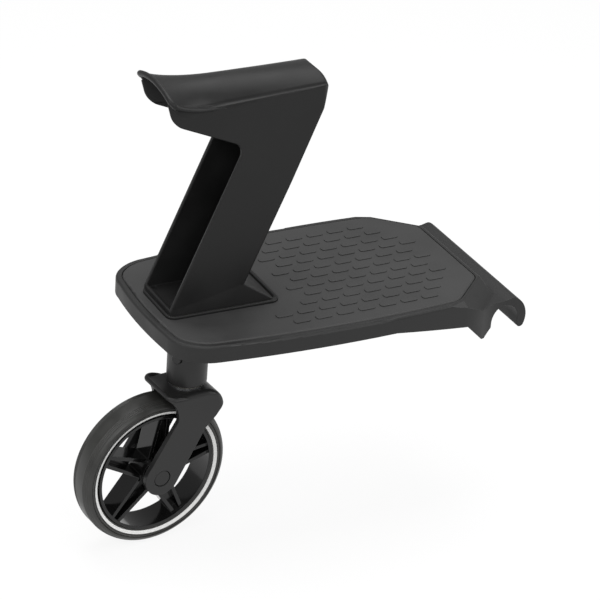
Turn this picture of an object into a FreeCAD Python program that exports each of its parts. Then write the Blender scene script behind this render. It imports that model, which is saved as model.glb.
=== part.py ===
import FreeCAD, Part
import math
import os
import Sketcher
from FreeCAD import Placement, Rotation, Vector

# Buggy board: a deck that hooks over a stroller's rear axle tube, with a saddle seat and one caster.
# The origin is the middle of the axle tube's axis, +X points at the stroller and +Z is up.
doc = FreeCAD.newDocument("BuggyBoard")

# Driving dimensions in millimetres, and angles in degrees
DRIVING = {
    # Hook and its latch
    "hook_bore": 30.0,
    "hook_step": 16.3,
    "hook_nose_wall": 9.0,
    "hook_saddle_wall": 4.6,
    "hook_crest_angle": 60.0,
    "hook_tip_angle": 21.0,
    "lip_drop": 8.0,
    "jaw_shoulder": 4.9,
    "jaw_drop": 13.2,
    "jaw_flat": 4.0,
    "jaw_heel_rise": 1.0,
    "jaw_root_height": 7.9,
    "jaw_reach": 47.7,
    "latch_angle": 44.0,
    "latch_gap": 0.8,
    "latch_thick": 2.0,
    "latch_tube_gap": 0.2,
    "latch_step": 1.2,
    "latch_fit": 0.3,
    "latch_travel": 3.5,
    "latch_end_gap": 1.5,
    "latch_pull_width": 44.0,
    "latch_pull_drop": 9.0,
    "latch_pull_round": 5.0,
    "latch_spring_offset": 34.0,
    "latch_spring_dia": 3.6,
    "latch_spring_wire": 0.8,
    "latch_spring_solid": 2.6,
    "latch_tab_width": 8.0,
    "latch_tab_depth": 4.6,
    "latch_tab_thick": 2.2,
    "latch_tab_margin": 1.2,
    "latch_screw_offset": 64.0,
    "latch_slot_gap": 0.4,
    "latch_head_thick": 1.4,
    "latch_head_gap": 0.2,
    # Deck
    "deck_length": 340.0,
    "deck_width": 195.6,
    "deck_rear_taper": 10.3,
    "deck_front_taper": 3.3,
    "deck_rear_bow": 3.0,
    "deck_corner": 36.0,
    "deck_top": 35.0,
    "deck_depth": 16.2,
    "deck_wide_place": 150.0,
    "deck_front_place": 52.0,
    "slope_start": 126.0,
    "shell_wall": 3.2,
    "ceiling": 3.5,
    "rim_round": 2.6,
    "mat_inset": 5.6,
    "mat_sink": 2.5,
    "mat_proud": 0.7,
    "mat_gap": 0.5,
    "mat_front": 17.8,
    "mat_corner": 26.0,
    "mat_front_corner": 12.0,
    "shoulder_half_width": 54.5,
    "shoulder_angle": 42.0,
    "shoulder_rim": 1.8,
    "shoulder_round": 45.0,
    "flank_run": 16.0,
    "mat_round": 2.0,
    "cover_thick": 2.4,
    "cover_gap": 0.4,
    "cover_front": 72.0,
    "cover_screw_sink": 1.0,
    "cover_screw_bite": 4.0,
    "screw_boss": 9.0,
    # Seat
    "seat_half_width": 28.0,
    "seat_wall": 3.0,
    "seat_overhang": 12.0,
    "seat_length": 159.0,
    "seat_height": 220.3,
    "seat_arch": 20.5,
    "seat_ridge_rise": 9.0,
    "seat_lip_rise": 15.5,
    "seat_lip_half_width": 37.0,
    "seat_front_round": 13.0,
    "seat_nose_round": 9.0,
    "seat_flare_run": 56.0,
    "seat_flare_drop": 11.0,
    "seat_lip_kick": 2.5,
    "seat_lip_corner": 8.0,
    "seat_crease": 0.8,
    "seat_ledge": 1.8,
    "seat_band": 4.2,
    "seat_wall_drop": 40.0,
    "seat_chin": 9.5,
    "seat_chin_set_in": 6.0,
    "seat_chin_round": 22.0,
    "seat_front_drop": 31.0,
    "seat_front_fall": 2.5,
    "column_lean": 23.2,
    "foot_set_back": 33.7,
    "column_depth": 66.0,
    "column_corner": 12.0,
    "foot_length": 106.0,
    "foot_lip": 7.0,
    "foot_floor": 5.0,
    "foot_rise": 22.0,
    "foot_flare": 3.0,
    "anchor_thick": 1.5,
    "anchor_width": 9.0,
    "anchor_margin": 5.0,
    "foot_skin": 0.4,
    "seat_screw_margin": 6.0,
    "seat_screw_rear": 8.0,
    "seat_screw_pitch": 74.0,
    # Stem and swivel
    "stem_set_in": 51.7,
    "stem_dia": 38.0,
    "stem_drop": 48.0,
    "stem_flange_thick": 3.0,
    "stem_flange_margin": 6.0,
    "stem_screw_clear": 5.0,
    "stem_screw_angle": 60.0,
    "stem_screw_bite": 4.5,
    "stem_head_gap": 0.6,
    "pin_dia": 10.0,
    "pin_groove_depth": 1.3,
    "pin_head_dia": 16.0,
    "pin_head_thick": 3.0,
    "pin_bevel": 1.0,
    "bush_wall": 4.0,
    "bush_length": 14.0,
    "bush_flange_dia": 30.0,
    "bush_flange_thick": 2.0,
    "washer_dia": 34.0,
    "washer_thick": 1.2,
    "running_gap": 0.05,
    "swivel_gap": 0.2,
    "swivel_at_rest": 5.4,
    # Wheel release
    "button_dia": 9.4,
    "button_drop": 19.0,
    "button_angle": 33.0,
    "button_proud": 2.6,
    "button_travel": 3.0,
    "button_gap": 0.35,
    "button_round": 0.9,
    "plate_width": 15.0,
    "plate_thick": 2.8,
    "plate_inset": 6.0,
    "plate_end": 5.3,
    "plate_fit": 0.3,
    "plate_stop": 0.2,
    "release_spring_dia": 5.0,
    "release_spring_length": 6.0,
    "release_spring_wire": 1.0,
    # Fork
    "fork_width": 50.0,
    "fork_leg": 5.0,
    "fork_crown": 7.0,
    "fork_rear": 32.0,
    "fork_front": 28.0,
    "fork_flare": 2.2,
    "fork_lip": 4.4,
    "fork_tip_corner": 6.0,
    "fork_waist": 14.5,
    "fork_notch": 9.0,
    "fork_knee": 20.0,
    "fork_lobe": 17.0,
    "fork_round": 5.0,
    "hub_radius": 17.5,
    "hub_boss": 3.0,
    "hub_boss_dia": 28.0,
    "trail": 36.0,
    "axle_drop": 134.0,
    # Wheel
    "tyre_dia": 150.0,
    "tyre_seat_dia": 120.0,
    "tyre_width": 31.0,
    "tread_width": 18.0,
    "bead_width": 24.0,
    "tread_round": 5.0,
    "shoulder_margin": 1.5,
    "shoulder_height": 2.6,
    "stripe_inner_dia": 124.4,
    "stripe_width": 2.8,
    "stripe_proud": 0.5,
    "rim_width": 27.0,
    "rim_wall": 2.8,
    "hub_dia": 30.0,
    "spoke_rib": 3.6,
    "spoke_rim_spread": 12.0,
    "spoke_hub_spread": 21.0,
    "spoke_depth": 22.0,
    "spoke_web": 5.0,
    "spoke_window": 11.0,
    "spoke_turn": 8.0,
    "bearing_dia": 22.0,
    "bearing_bore": 8.0,
    "bearing_width": 7.0,
    "bearing_place": 8.0,
    "bearing_dish": 0.5,
    "spacer_dia": 12.0,
    "spacer_gap": 0.4,
    "axle_gap": 0.03,
    "cap_dia": 16.2,
    "cap_gap": 0.45,
    "cap_thick": 1.4,
    "cap_sink": 0.3,
    "cap_wall": 1.0,
    "cap_bevel": 0.5,
    "recess_depth": 5.0,
    "bolt_head_dia": 12.5,
    "bolt_head_thick": 3.0,
    "bolt_bevel": 1.0,
    "nut_across": 11.5,
    # Screws
    "screw_dia": 3.5,
    "screw_head_dia": 6.6,
    "screw_head_thick": 2.0,
    "screw_fit": 0.1,
    "screw_end_gap": 0.2,
}
SPOKES = 5
FLARE_SECTIONS = 8
SHOULDER_FACETS = 2
# Smallest share of the saddle's ledge that is kept where it runs out into the lip
LEAST_SHARE = 0.03
LEDGE_SLOPE = 0.2
BAND_LEAN = 0.6
BAND_BULGE = 0.7
FRONT_FADE = 0.55
# Headings from the saddle's side to its end at which the round nose has a section
NOSE_HEADINGS = (0, 20, 40, 60, 75, 90)
# How far the nose's envelope lies off the saddle where it starts
NOSE_CLEAR = 0.3
# How far a cutting shape runs past what it cuts
PAST = 1.0
# How near two places are when they count as one
TOUCH = 1e-3

sheet = doc.addObject("Spreadsheet::Sheet", "Sizes")
for row, (name, number) in enumerate(DRIVING.items(), start=1):
    sheet.set(f"A{row}", name)
    sheet.set(f"B{row}", str(number))
    sheet.setAlias(f"B{row}", name)
doc.recompute()


class Formula:
    """A size worked out from the sheet: its number now, and the text that keeps it current."""

    def __init__(self, text, number):
        self.text = text
        self.number = number

    def __float__(self):
        return self.number

    def __add__(self, other):
        return Formula(f"({self.text} + {words(other)})", self.number + float(other))

    def __radd__(self, other):
        return Formula(f"({words(other)} + {self.text})", float(other) + self.number)

    def __sub__(self, other):
        return Formula(f"({self.text} - {words(other)})", self.number - float(other))

    def __rsub__(self, other):
        return Formula(f"({words(other)} - {self.text})", float(other) - self.number)

    def __mul__(self, other):
        return Formula(f"({self.text} * {words(other)})", self.number * float(other))

    def __rmul__(self, other):
        return Formula(f"({words(other)} * {self.text})", float(other) * self.number)

    def __truediv__(self, other):
        return Formula(f"({self.text} / {words(other)})", self.number / float(other))

    def __neg__(self):
        return Formula(f"(-1 * {self.text})", -self.number)


def words(value):
    """The text of a formula or of a plain number."""
    return value.text if isinstance(value, Formula) else repr(float(value))


def cosine(angle):
    return Formula(f"cos({angle.text} * 1 deg)", math.cos(math.radians(angle.number)))


def sine(angle):
    return Formula(f"sin({angle.text} * 1 deg)", math.sin(math.radians(angle.number)))


class SizeBook:
    """Every driving dimension of the sheet, by name."""

    def __init__(self, source):
        for alias in DRIVING:
            setattr(self, alias, Formula(f"Sizes.{alias}", float(source.get(alias))))


S = SizeBook(sheet)
pieces = []


# Shared ways of making pieces

def keep(obj, label):
    """Name a finished piece and list it for writing."""
    obj.Label = label
    pieces.append(obj)
    return obj


def place(obj, x=0.0, y=0.0, z=0.0, turn=None):
    """Put an object at a point, turned about the vertical, and keep it tied to the sheet."""
    angle = 0.0 if turn is None else float(turn)
    obj.Placement = Placement(Vector(float(x), float(y), float(z)), Rotation(Vector(0, 0, 1), angle))
    for axis, value in (("x", x), ("y", y), ("z", z)):
        if isinstance(value, Formula):
            obj.setExpression(f"Placement.Base.{axis}", value.text)
    if isinstance(turn, Formula):
        obj.setExpression("Placement.Rotation.Angle", turn.text)
    return obj


def body_plane(body, role):
    """One of a body's own origin planes or axes."""
    return [feature for feature in body.Origin.OriginFeatures if feature.Role == role][0]


def sketch_on(body, role, name):
    sketch = body.newObject("Sketcher::SketchObject", name)
    sketch.AttachmentSupport = [(body_plane(body, role), "")]
    sketch.MapMode = "FlatFace"
    return sketch


def draw_outline(sketch, corners):
    """Closed outline of straight edges, each corner held at its formula."""
    first = sketch.GeometryCount
    count = len(corners)
    points = [Vector(float(across), float(along), 0) for across, along in corners]
    for index in range(count):
        sketch.addGeometry(Part.LineSegment(points[index], points[(index + 1) % count]), False)
    for index in range(count):
        following = first + (index + 1) % count
        sketch.addConstraint(Sketcher.Constraint("Coincident", first + index, 2, following, 1))
    for index, (across, along) in enumerate(corners):
        for kind, value in (("DistanceX", across), ("DistanceY", along)):
            row = sketch.addConstraint(Sketcher.Constraint(kind, -1, 1, first + index, 1, float(value)))
            if isinstance(value, Formula):
                sketch.setExpression(f"Constraints[{row}]", value.text)


def turned(name, corners, plane):
    """Body turned from an outline of (radius, height) corners about the sketch's upright axis."""
    body = doc.addObject("PartDesign::Body", name)
    sketch = sketch_on(body, plane, name + "_profile")
    draw_outline(sketch, corners)
    turn = body.newObject("PartDesign::Revolution", name + "_turn")
    turn.Profile = sketch
    turn.ReferenceAxis = (sketch, ["V_Axis"])
    turn.Angle = 360
    doc.recompute()
    return body


UPRIGHT = "XZ_Plane"
ON_AXLE = "XY_Plane"


def ring(name, inner, outer, low, high, plane):
    """Plain ring between two radii and two heights."""
    return turned(name, [(inner, low), (outer, low), (outer, high), (inner, high)], plane)


def feature(label, shape, placement=None):
    """Piece with a shape of its own."""
    obj = doc.addObject("Part::Feature", label)
    obj.Shape = shape
    if placement is not None:
        obj.Placement = placement
    return obj


def prism_y(face, half):
    """Extrude a face that lies in the XZ plane to both sides."""
    face = face.copy()
    face.translate(Vector(0, -half, 0))
    return face.extrude(Vector(0, 2 * half, 0))


def rear_corner(rear, edge, radius, low, high):
    """What is rounded off a rear corner seen from above, between two heights."""
    side = math.copysign(1, edge)
    middle = Vector(rear + radius, edge - side * radius, low)
    past = radius + PAST
    corner = middle - Vector(past, 0 if side > 0 else past, 0)
    return Part.makeBox(past, past, high - low, corner).cut(Part.makeCylinder(radius, high - low, middle))


def corner_arc(before, corner, after, radius):
    """Rounded corner in the XZ plane: the two tangent points and the arc's middle point."""
    back = (before - corner).normalize()
    ahead = (after - corner).normalize()
    half_angle = back.getAngle(ahead) / 2
    reach = radius / math.tan(half_angle)
    start = corner + back * reach
    end = corner + ahead * reach
    middle = corner + (back + ahead).normalize() * (radius / math.sin(half_angle) - radius)
    return start, middle, end


def rounded_loop(corners):
    """Closed wire through (point, radius) corners, with an arc where the radius isn't nought."""
    count = len(corners)
    edges = []
    spans = []
    for index, (corner, radius) in enumerate(corners):
        if radius > 0:
            before = corners[index - 1][0]
            after = corners[(index + 1) % count][0]
            spans.append(corner_arc(before, corner, after, radius))
        else:
            spans.append((corner, None, corner))
    for index, (start, middle, end) in enumerate(spans):
        if middle is not None:
            edges.append(Part.Arc(start, middle, end).toShape())
        following = spans[(index + 1) % count][0]
        if end.distanceToPoint(following) > 1e-6:
            edges.append(Part.LineSegment(end, following).toShape())
    return Part.Wire(edges)


def xz(across, height):
    return Vector(float(across), 0, float(height))


# Deck shell with its hook

bore_radius = S.hook_bore / 2
nose_radius = bore_radius + S.hook_nose_wall
saddle_height = bore_radius + S.hook_saddle_wall
valley_place = -(bore_radius * 0.13)
deck_floor = S.deck_top - S.deck_depth
ceiling_height = S.deck_top - S.mat_sink - S.ceiling
jaw_face = (S.jaw_drop - S.jaw_shoulder) / sine(S.latch_angle)
jaw_run = jaw_face * cosine(S.latch_angle)
cover_top = deck_floor + S.cover_thick
mat_floor = S.deck_top - S.mat_sink
seat_floor = S.deck_top + S.mat_proud
stem_seat_height = cover_top + S.stem_head_gap + S.screw_head_thick + S.stem_flange_thick
hook_half_width = S.deck_width / 2 - S.hook_step
deck_rear_half = S.deck_width / 2 - S.deck_rear_taper
deck_front_half = S.deck_width / 2 - S.deck_front_taper
stem_place = S.deck_length - S.stem_set_in
foot_rear = -(stem_place + S.foot_set_back)
foot_rear_half = S.seat_half_width + S.foot_flare / 4
foot_front_half = S.seat_half_width + S.foot_flare


def tangent_arc(start, heading, end):
    """Arc that leaves a point along a heading and ends at another point, in the XY plane."""
    chord = end - start
    turn = math.atan2(heading.x * chord.y - heading.y * chord.x, heading.dot(chord))
    aside = Vector(chord.y, -chord.x, 0)
    return Part.Arc(start, start + chord * 0.5 + aside * (0.5 * math.tan(turn / 2)), end)


def double_bend(start, heading, end, final):
    """Two arcs, tangent to each other, between two points with given headings."""
    gap = end - start
    both = heading + final
    reach = gap.dot(both)
    spread = 2 * (1 - heading.dot(final))
    handle = gap.dot(gap) / (reach + math.sqrt(reach ** 2 + spread * gap.dot(gap)))
    meeting = (start + end + (heading - final) * handle) * 0.5
    return [tangent_arc(start, heading, meeting), tangent_arc(end, final * -1, meeting)]


def plan_side(side):
    """Edges of the deck's outline along one side, from the rear's end to the hook's end."""
    rear_half = float(deck_rear_half)
    corner = float(S.deck_corner)
    back_x = float(S.deck_rear_bow - S.deck_length)
    hook_half = float(hook_half_width)
    wide = Vector(-float(S.deck_wide_place), side * float(S.deck_width) / 2, 0)
    front = Vector(-float(S.deck_front_place), side * float(deck_front_half), 0)
    hook_edge = Vector(0, side * hook_half, 0)
    hook_end = Vector(float(nose_radius) + PAST, side * hook_half, 0)
    side_start = Vector(back_x + corner, side * rear_half, 0)
    back_end = Vector(back_x, side * (rear_half - corner), 0)
    long_side = Part.Arc(side_start, wide, front)
    entering, leaving = (
        long_side.tangent(end)[0] for end in (long_side.FirstParameter, long_side.LastParameter)
    )
    if leaving.x < 0:
        leaving = leaving * -1
    if entering.x < 0:
        entering = entering * -1
    curves = [
        *double_bend(back_end, Vector(0, side, 0), side_start, entering),
        long_side,
        *double_bend(front, leaving, hook_edge, Vector(1, 0, 0)),
        Part.LineSegment(hook_edge, hook_end),
    ]
    return [curve.toShape() for curve in curves], back_end, hook_end


def plan_edge(inset=0.0):
    """Face of the deck's outline seen from above, drawn in by an inset."""
    far_edges, far_back, far_hook = plan_side(1)
    near_edges, near_back, near_hook = plan_side(-1)
    rear_edge = Part.Arc(near_back, Vector(-float(S.deck_length), 0, 0), far_back).toShape()
    front_edge = Part.LineSegment(far_hook, near_hook).toShape()
    wire = Part.Wire(Part.__sortEdges__([rear_edge] + far_edges + [front_edge] + near_edges))
    face = Part.Face(wire)
    if inset > 0:
        face = face.makeOffset2D(-inset)
    return face


def plan_prism(inset, low, high):
    """The deck's outline as a block between two heights."""
    block = plan_edge(inset).extrude(Vector(0, 0, high - low))
    block.translate(Vector(0, 0, low))
    return block


def deck_profile():
    """Side outline of the deck and hook."""
    bore = float(bore_radius)
    nose = float(nose_radius)
    top = float(S.deck_top)
    floor = float(deck_floor)
    saddle = float(saddle_height)
    rear = -float(S.deck_length) - PAST
    slope_top = float(S.shoulder_rim) - float(S.mat_front)
    crest_angle = math.radians(float(S.hook_crest_angle))
    tip_angle = -math.radians(float(S.hook_tip_angle))
    nose_angle = (crest_angle + tip_angle) / 2
    crest = xz(nose * math.cos(crest_angle), nose * math.sin(crest_angle))
    valley = xz(valley_place, saddle)
    slope = Part.BezierCurve()
    run = valley.x - slope_top
    slope.setPoles([
        xz(slope_top, top),
        xz(slope_top + run * 0.4, top),
        xz(valley.x - run * 0.5, saddle),
        valley,
    ])
    rise = Part.BezierCurve()
    rise.setPoles([
        valley,
        xz(valley.x + bore * 0.45, saddle),
        crest - xz(math.sin(crest_angle), -math.cos(crest_angle)) * (bore * 0.3),
        crest,
    ])
    tip_outer = xz(nose * math.cos(tip_angle), nose * math.sin(tip_angle))
    tip_inner = xz(bore, -float(S.lip_drop))
    tip_low = (tip_outer + tip_inner) * 0.5 + xz(0, -0.32 * (nose - bore))
    nose_middle = xz(nose * math.cos(nose_angle), nose * math.sin(nose_angle))
    jaw_top = xz(-bore, -S.jaw_shoulder)
    jaw_tip = xz(-bore - float(jaw_run), -float(S.jaw_drop))
    jaw_heel = xz(jaw_tip.x - float(S.jaw_flat), jaw_tip.z + float(S.jaw_heel_rise))
    jaw_root = xz(-S.jaw_reach, S.jaw_root_height)
    edges = [
        Part.LineSegment(xz(rear, floor), xz(rear, top)),
        Part.LineSegment(xz(rear, top), xz(slope_top, top)),
        slope,
        rise,
        Part.Arc(crest, nose_middle, tip_outer),
        Part.Arc(tip_outer, tip_low, tip_inner),
        Part.LineSegment(tip_inner, xz(bore, 0)),
        Part.Arc(xz(bore, 0), xz(0, bore), xz(-bore, 0)),
        Part.LineSegment(xz(-bore, 0), jaw_top),
        Part.LineSegment(jaw_top, jaw_tip),
        Part.LineSegment(jaw_tip, jaw_heel),
        Part.LineSegment(jaw_heel, jaw_root),
        Part.LineSegment(jaw_root, xz(-float(S.slope_start), floor)),
        Part.LineSegment(xz(-float(S.slope_start), floor), xz(rear, floor)),
    ]
    return Part.Face(Part.Wire([edge.toShape() for edge in edges]))


def underside_height(x):
    """Height of the deck's underside at a place along it."""
    start = -float(S.slope_start)
    if x <= start:
        return float(deck_floor)
    share = (x - start) / (-float(S.jaw_reach) - start)
    return float(deck_floor) + share * float(S.jaw_root_height - deck_floor)


def underside_band(low, high, front):
    """Face between two heights measured up from the underside, from the rear to a front end."""
    rear = -float(S.deck_length) - PAST
    start = -float(S.slope_start)
    corners = [
        xz(rear, deck_floor + low),
        xz(start, deck_floor + low),
        xz(front, underside_height(front) + low),
        xz(front, underside_height(front) + high if high is not None else float(ceiling_height)),
    ]
    if high is not None:
        corners.append(xz(start, deck_floor + high))
        corners.append(xz(rear, deck_floor + high))
    else:
        corners.append(xz(rear, ceiling_height))
    return Part.Face(Part.makePolygon(corners + [corners[0]]))


def shoulder_headings(side, share=1.0):
    """A place on a slanting shoulder of the mat, and the headings along it and straight out from it.

    A share below one gives a line that touches the round by which the shoulder turns into the deck's side.
    """
    full_turn = math.radians(float(S.shoulder_angle))
    turn = full_turn * share
    ahead = Vector(math.cos(turn), -side * math.sin(turn), 0)
    out = Vector(math.sin(turn), side * math.cos(turn), 0)
    front = Vector(-float(S.mat_front), side * float(S.shoulder_half_width), 0)
    if share == 1.0:
        return front, ahead, out
    radius = float(S.shoulder_round) - float(S.shoulder_rim)
    inward = float(deck_front_half) - float(S.shoulder_round) - float(S.shoulder_half_width)
    back = (radius + inward * math.cos(full_turn)) / math.sin(full_turn)
    middle = front + Vector(-back, side * inward, 0)
    return middle + out * radius, ahead, out


def shoulder_block(side, section, share=1.0):
    """Block along a shoulder, from the (outward, height) corners of its section."""
    front, ahead, out = shoulder_headings(side, share)
    reach = float(S.deck_width)
    start = front - ahead * reach
    corners = [start + out * outward + Vector(0, 0, height) for outward, height in section]
    return Part.Face(Part.makePolygon(corners + [corners[0]])).extrude(ahead * (2 * reach))


def shoulder_flank(side, share):
    """What the deck lacks outside a shoulder: a steep flank that ends at the height of the hook's saddle."""
    top = float(S.deck_top)
    saddle = float(saddle_height)
    rim = float(S.shoulder_rim)
    run = float(S.flank_run)
    reach = float(S.deck_width)
    lean_in = PAST * run / (top - saddle)
    block = shoulder_block(side, [
        (rim - lean_in, top + PAST),
        (rim + run, saddle),
        (reach, saddle),
        (reach, top + PAST),
    ], share)
    corner = Vector(float(valley_place) - 2 * reach, -reach, 0)
    return block.common(Part.makeBox(2 * reach, 2 * reach, 2 * top, corner))


def upright_edges(block, height):
    """Edges of a block that stand its full height."""
    edges = []
    for edge in block.Edges:
        rise = abs(edge.Vertexes[0].Point.z - edge.Vertexes[-1].Point.z)
        if abs(rise - height) < TOUCH:
            edges.append(edge)
    return edges


def mat_outline(inset, low, high):
    """Mat's block: the deck's outline drawn in, with a square front between slanting shoulders."""
    block = plan_prism(inset, low, high)
    extra = inset - float(S.mat_inset)
    front = -float(S.mat_front) - extra
    reach = float(S.deck_length)
    corner = Vector(front - reach, -reach, low - PAST)
    keep_box = Part.makeBox(reach, 2 * reach, high - low + 2 * PAST, corner)
    block = block.common(keep_box)
    section = [(-extra, low - PAST), (reach, low - PAST), (reach, high + PAST), (-extra, high + PAST)]
    for side in (-1, 1):
        block = block.cut(shoulder_block(side, section))
    side_corners = []
    for edge in upright_edges(block, high - low):
        foot = edge.Vertexes[0].Point
        start, ahead, out = shoulder_headings(math.copysign(1, foot.y))
        on_shoulder = abs((foot - start).dot(out) + extra) < TOUCH
        if on_shoulder and abs(foot.x - front) > TOUCH:
            side_corners.append(edge)
    block = block.makeFillet(float(S.mat_corner) - extra, side_corners)
    front_corners = []
    for edge in upright_edges(block, high - low):
        if abs(edge.Vertexes[0].Point.x - front) < TOUCH:
            front_corners.append(edge)
    return block.makeFillet(float(S.mat_front_corner) - extra, front_corners)


def screw_places_cover():
    """Where the cover's screws stand, as (x, y)."""
    edge = deck_rear_half - S.shell_wall - S.screw_boss
    rear = S.deck_corner - S.deck_length
    front = -S.cover_front - S.screw_boss * 2
    places = []
    for x, y in ((rear, edge - S.screw_boss), (-S.deck_wide_place, edge), (front, edge - S.screw_boss)):
        places.append((x, y))
        places.append((x, -y))
    return places


stem_screw_reach = S.stem_dia / 2 + S.stem_screw_clear
stem_flange_radius = stem_screw_reach + S.stem_flange_margin


def screw_places_stem():
    """Four screws on a circle round the stem."""
    along = stem_screw_reach * cosine(S.stem_screw_angle)
    aside = stem_screw_reach * sine(S.stem_screw_angle)
    return [(-stem_place + along * i, aside * j) for i in (-1, 1) for j in (-1, 1)]


seat_screw_rear = foot_rear + S.seat_screw_rear
seat_screw_front = seat_screw_rear + S.seat_screw_pitch
seat_screw_aside = S.seat_half_width - S.seat_screw_margin


def screw_places_seat():
    """Four screws under the seat's foot, a pair behind the stem and a pair in front of it."""
    return [(x, seat_screw_aside * side) for x in (seat_screw_rear, seat_screw_front) for side in (-1, 1)]


screw_hole = S.screw_dia / 2 + S.screw_fit


def upright_hole(x, y, radius, low, high):
    return Part.makeCylinder(float(radius), float(high) - float(low), Vector(float(x), float(y), float(low)))


def latch_frame():
    """Placement whose X runs up along the jaw's tip face and whose Z points into the jaw."""
    tip = xz(-bore_radius - jaw_run, -S.jaw_drop)
    along = xz(cosine(S.latch_angle), sine(S.latch_angle))
    inward = Vector(-along.z, 0, along.x)
    return Placement(tip, Rotation(along, inward.cross(along), inward, "XZY"))


def latch_reach():
    """How far up the jaw's face the latch plate runs, so that its nose just clears the axle tube."""
    frame = latch_frame()
    start = frame.multVec(Vector(0, 0, -float(S.latch_gap + S.latch_thick)))
    along = frame.Rotation.multVec(Vector(1, 0, 0))
    ahead = -start.dot(along)
    aside = (start + along * ahead).Length
    clear = float(bore_radius + S.latch_tube_gap)
    return ahead - math.sqrt(clear ** 2 - aside ** 2)


tab_top = jaw_face - S.latch_tab_margin
tab_low = tab_top - S.latch_tab_thick
pocket_low = tab_low - S.latch_travel - S.latch_spring_solid


def make_deck_shell():
    half = float(S.deck_width)
    low = -float(S.jaw_drop) - PAST
    above = float(S.deck_top + S.deck_depth)
    outer = prism_y(deck_profile(), half).common(plan_prism(0.0, low, above))
    for side in (-1, 1):
        for step in range(SHOULDER_FACETS):
            outer = outer.cut(shoulder_flank(side, 1 - step / SHOULDER_FACETS))
    rim = []
    for edge in outer.Edges:
        middle = edge.valueAt((edge.FirstParameter + edge.LastParameter) / 2)
        lowest = min([vertex.Point.z for vertex in edge.Vertexes] + [middle.z])
        across_middle = abs(middle.y) < TOUCH and middle.x > -float(S.deck_wide_place)
        if lowest > float(S.deck_top) - TOUCH and not across_middle:
            rim.append(edge)
    outer = outer.makeFillet(float(S.rim_round), rim)
    hollow = prism_y(underside_band(-PAST, None, -float(S.cover_front)), half)
    hollow = hollow.common(plan_prism(float(S.shell_wall), low, float(ceiling_height)))
    shell = outer.cut(hollow)
    shell = shell.cut(mat_outline(float(S.mat_inset), float(mat_floor), above))
    boss_radius = S.screw_boss / 2
    boss_top = ceiling_height + S.ceiling / 4
    for x, y in screw_places_cover():
        foot = underside_height(float(x - boss_radius)) + float(S.cover_thick)
        shell = shell.fuse(upright_hole(x, y, boss_radius, foot, boss_top))
        shell = shell.cut(upright_hole(x, y, screw_hole, foot - PAST, ceiling_height))
    stem_pilot_top = stem_seat_height + S.stem_screw_bite + S.screw_end_gap
    for x, y in screw_places_stem():
        shell = shell.fuse(upright_hole(x, y, boss_radius, stem_seat_height, boss_top))
        shell = shell.cut(upright_hole(x, y, screw_hole, stem_seat_height - PAST, stem_pilot_top))
    for x, y in screw_places_seat():
        shell = shell.cut(upright_hole(x, y, screw_hole, ceiling_height - PAST, S.deck_top))
    frame = latch_frame()
    fit = float(S.latch_fit)
    tab_half = float(S.latch_tab_width) / 2
    for side in (-1, 1):
        pocket = Part.makeBox(
            float(tab_top - pocket_low) + fit,
            2 * (tab_half + fit),
            PAST + float(S.latch_tab_depth) + fit,
            Vector(float(pocket_low), side * float(S.latch_spring_offset) - tab_half - fit, -PAST),
        )
        pocket.Placement = frame.multiply(pocket.Placement)
        shell = shell.cut(pocket)
        drilled = Part.makeCylinder(
            float(screw_hole),
            PAST + float(S.latch_tab_depth),
            Vector(float(jaw_face) / 2, side * float(S.latch_screw_offset), -PAST),
        )
        drilled.Placement = frame.multiply(drilled.Placement)
        shell = shell.cut(drilled)
    return keep(feature("deck_shell", shell.removeSplitter()), "deck_shell")


def foot_block(margin, low, high):
    """Outline of the seat's foot, drawn out by a margin, as a block between two heights."""
    rear = float(foot_rear) - margin
    front = float(foot_rear + S.foot_length) + margin
    rear_half = float(foot_rear_half) + margin
    front_half = float(foot_front_half) + margin
    corners = [
        Vector(rear, -rear_half, low),
        Vector(front, -front_half, low),
        Vector(front, front_half, low),
        Vector(rear, rear_half, low),
    ]
    outline = Part.Face(Part.makePolygon(corners + [corners[0]]))
    return outline.extrude(Vector(0, 0, high - low))


def make_deck_mat():
    inset = float(S.mat_inset + S.mat_gap)
    mat = mat_outline(inset, float(mat_floor), float(S.deck_top + S.mat_proud))
    top = float(S.deck_top + S.mat_proud)
    rim = [edge for edge in mat.Edges if all(abs(v.Point.z - top) < TOUCH for v in edge.Vertexes)]
    mat = mat.makeFillet(float(S.mat_round), rim)
    mat = mat.cut(foot_block(float(S.mat_gap), float(mat_floor) - PAST, top + PAST))
    return keep(feature("deck_mat", mat), "deck_mat")


def make_underside_cover():
    band = underside_band(0.0, float(S.cover_thick), -float(S.cover_front + S.cover_gap))
    plate = prism_y(band, float(S.deck_width))
    inset = float(S.shell_wall + S.cover_gap)
    plate = plate.common(plan_prism(inset, -float(S.jaw_drop), float(S.deck_top)))
    hole_radius = S.stem_dia / 2 + S.cover_gap
    plate = plate.cut(upright_hole(-stem_place, 0, hole_radius, deck_floor - PAST, cover_top + PAST))
    for x, y in screw_places_cover():
        low = underside_height(float(x))
        head_hole = S.screw_head_dia / 2 + S.cover_gap
        under = low - float(S.cover_thick)
        plate = plate.cut(upright_hole(x, y, screw_hole, under, low + 2 * float(S.cover_thick)))
        plate = plate.cut(upright_hole(x, y, head_hole, under, low + float(S.cover_screw_sink)))
    return keep(feature("underside_cover", plate), "underside_cover")


def screw(name, x, y, head_low, length, head_thick):
    """Pan-head screw that points up, with its head's underside face at head_low plus its thickness."""
    head = doc.addObject("Part::Cylinder", name + "_head")
    head.setExpression("Radius", (S.screw_head_dia / 2).text)
    head.setExpression("Height", head_thick.text)
    place(head, x, y, head_low)
    shank = doc.addObject("Part::Cylinder", name + "_shank")
    shank.setExpression("Radius", (S.screw_dia / 2).text)
    shank.setExpression("Height", (head_thick + length).text)
    place(shank, x, y, head_low)
    whole = doc.addObject("Part::Fuse", name)
    whole.Base = head
    whole.Tool = shank
    return whole


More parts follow.
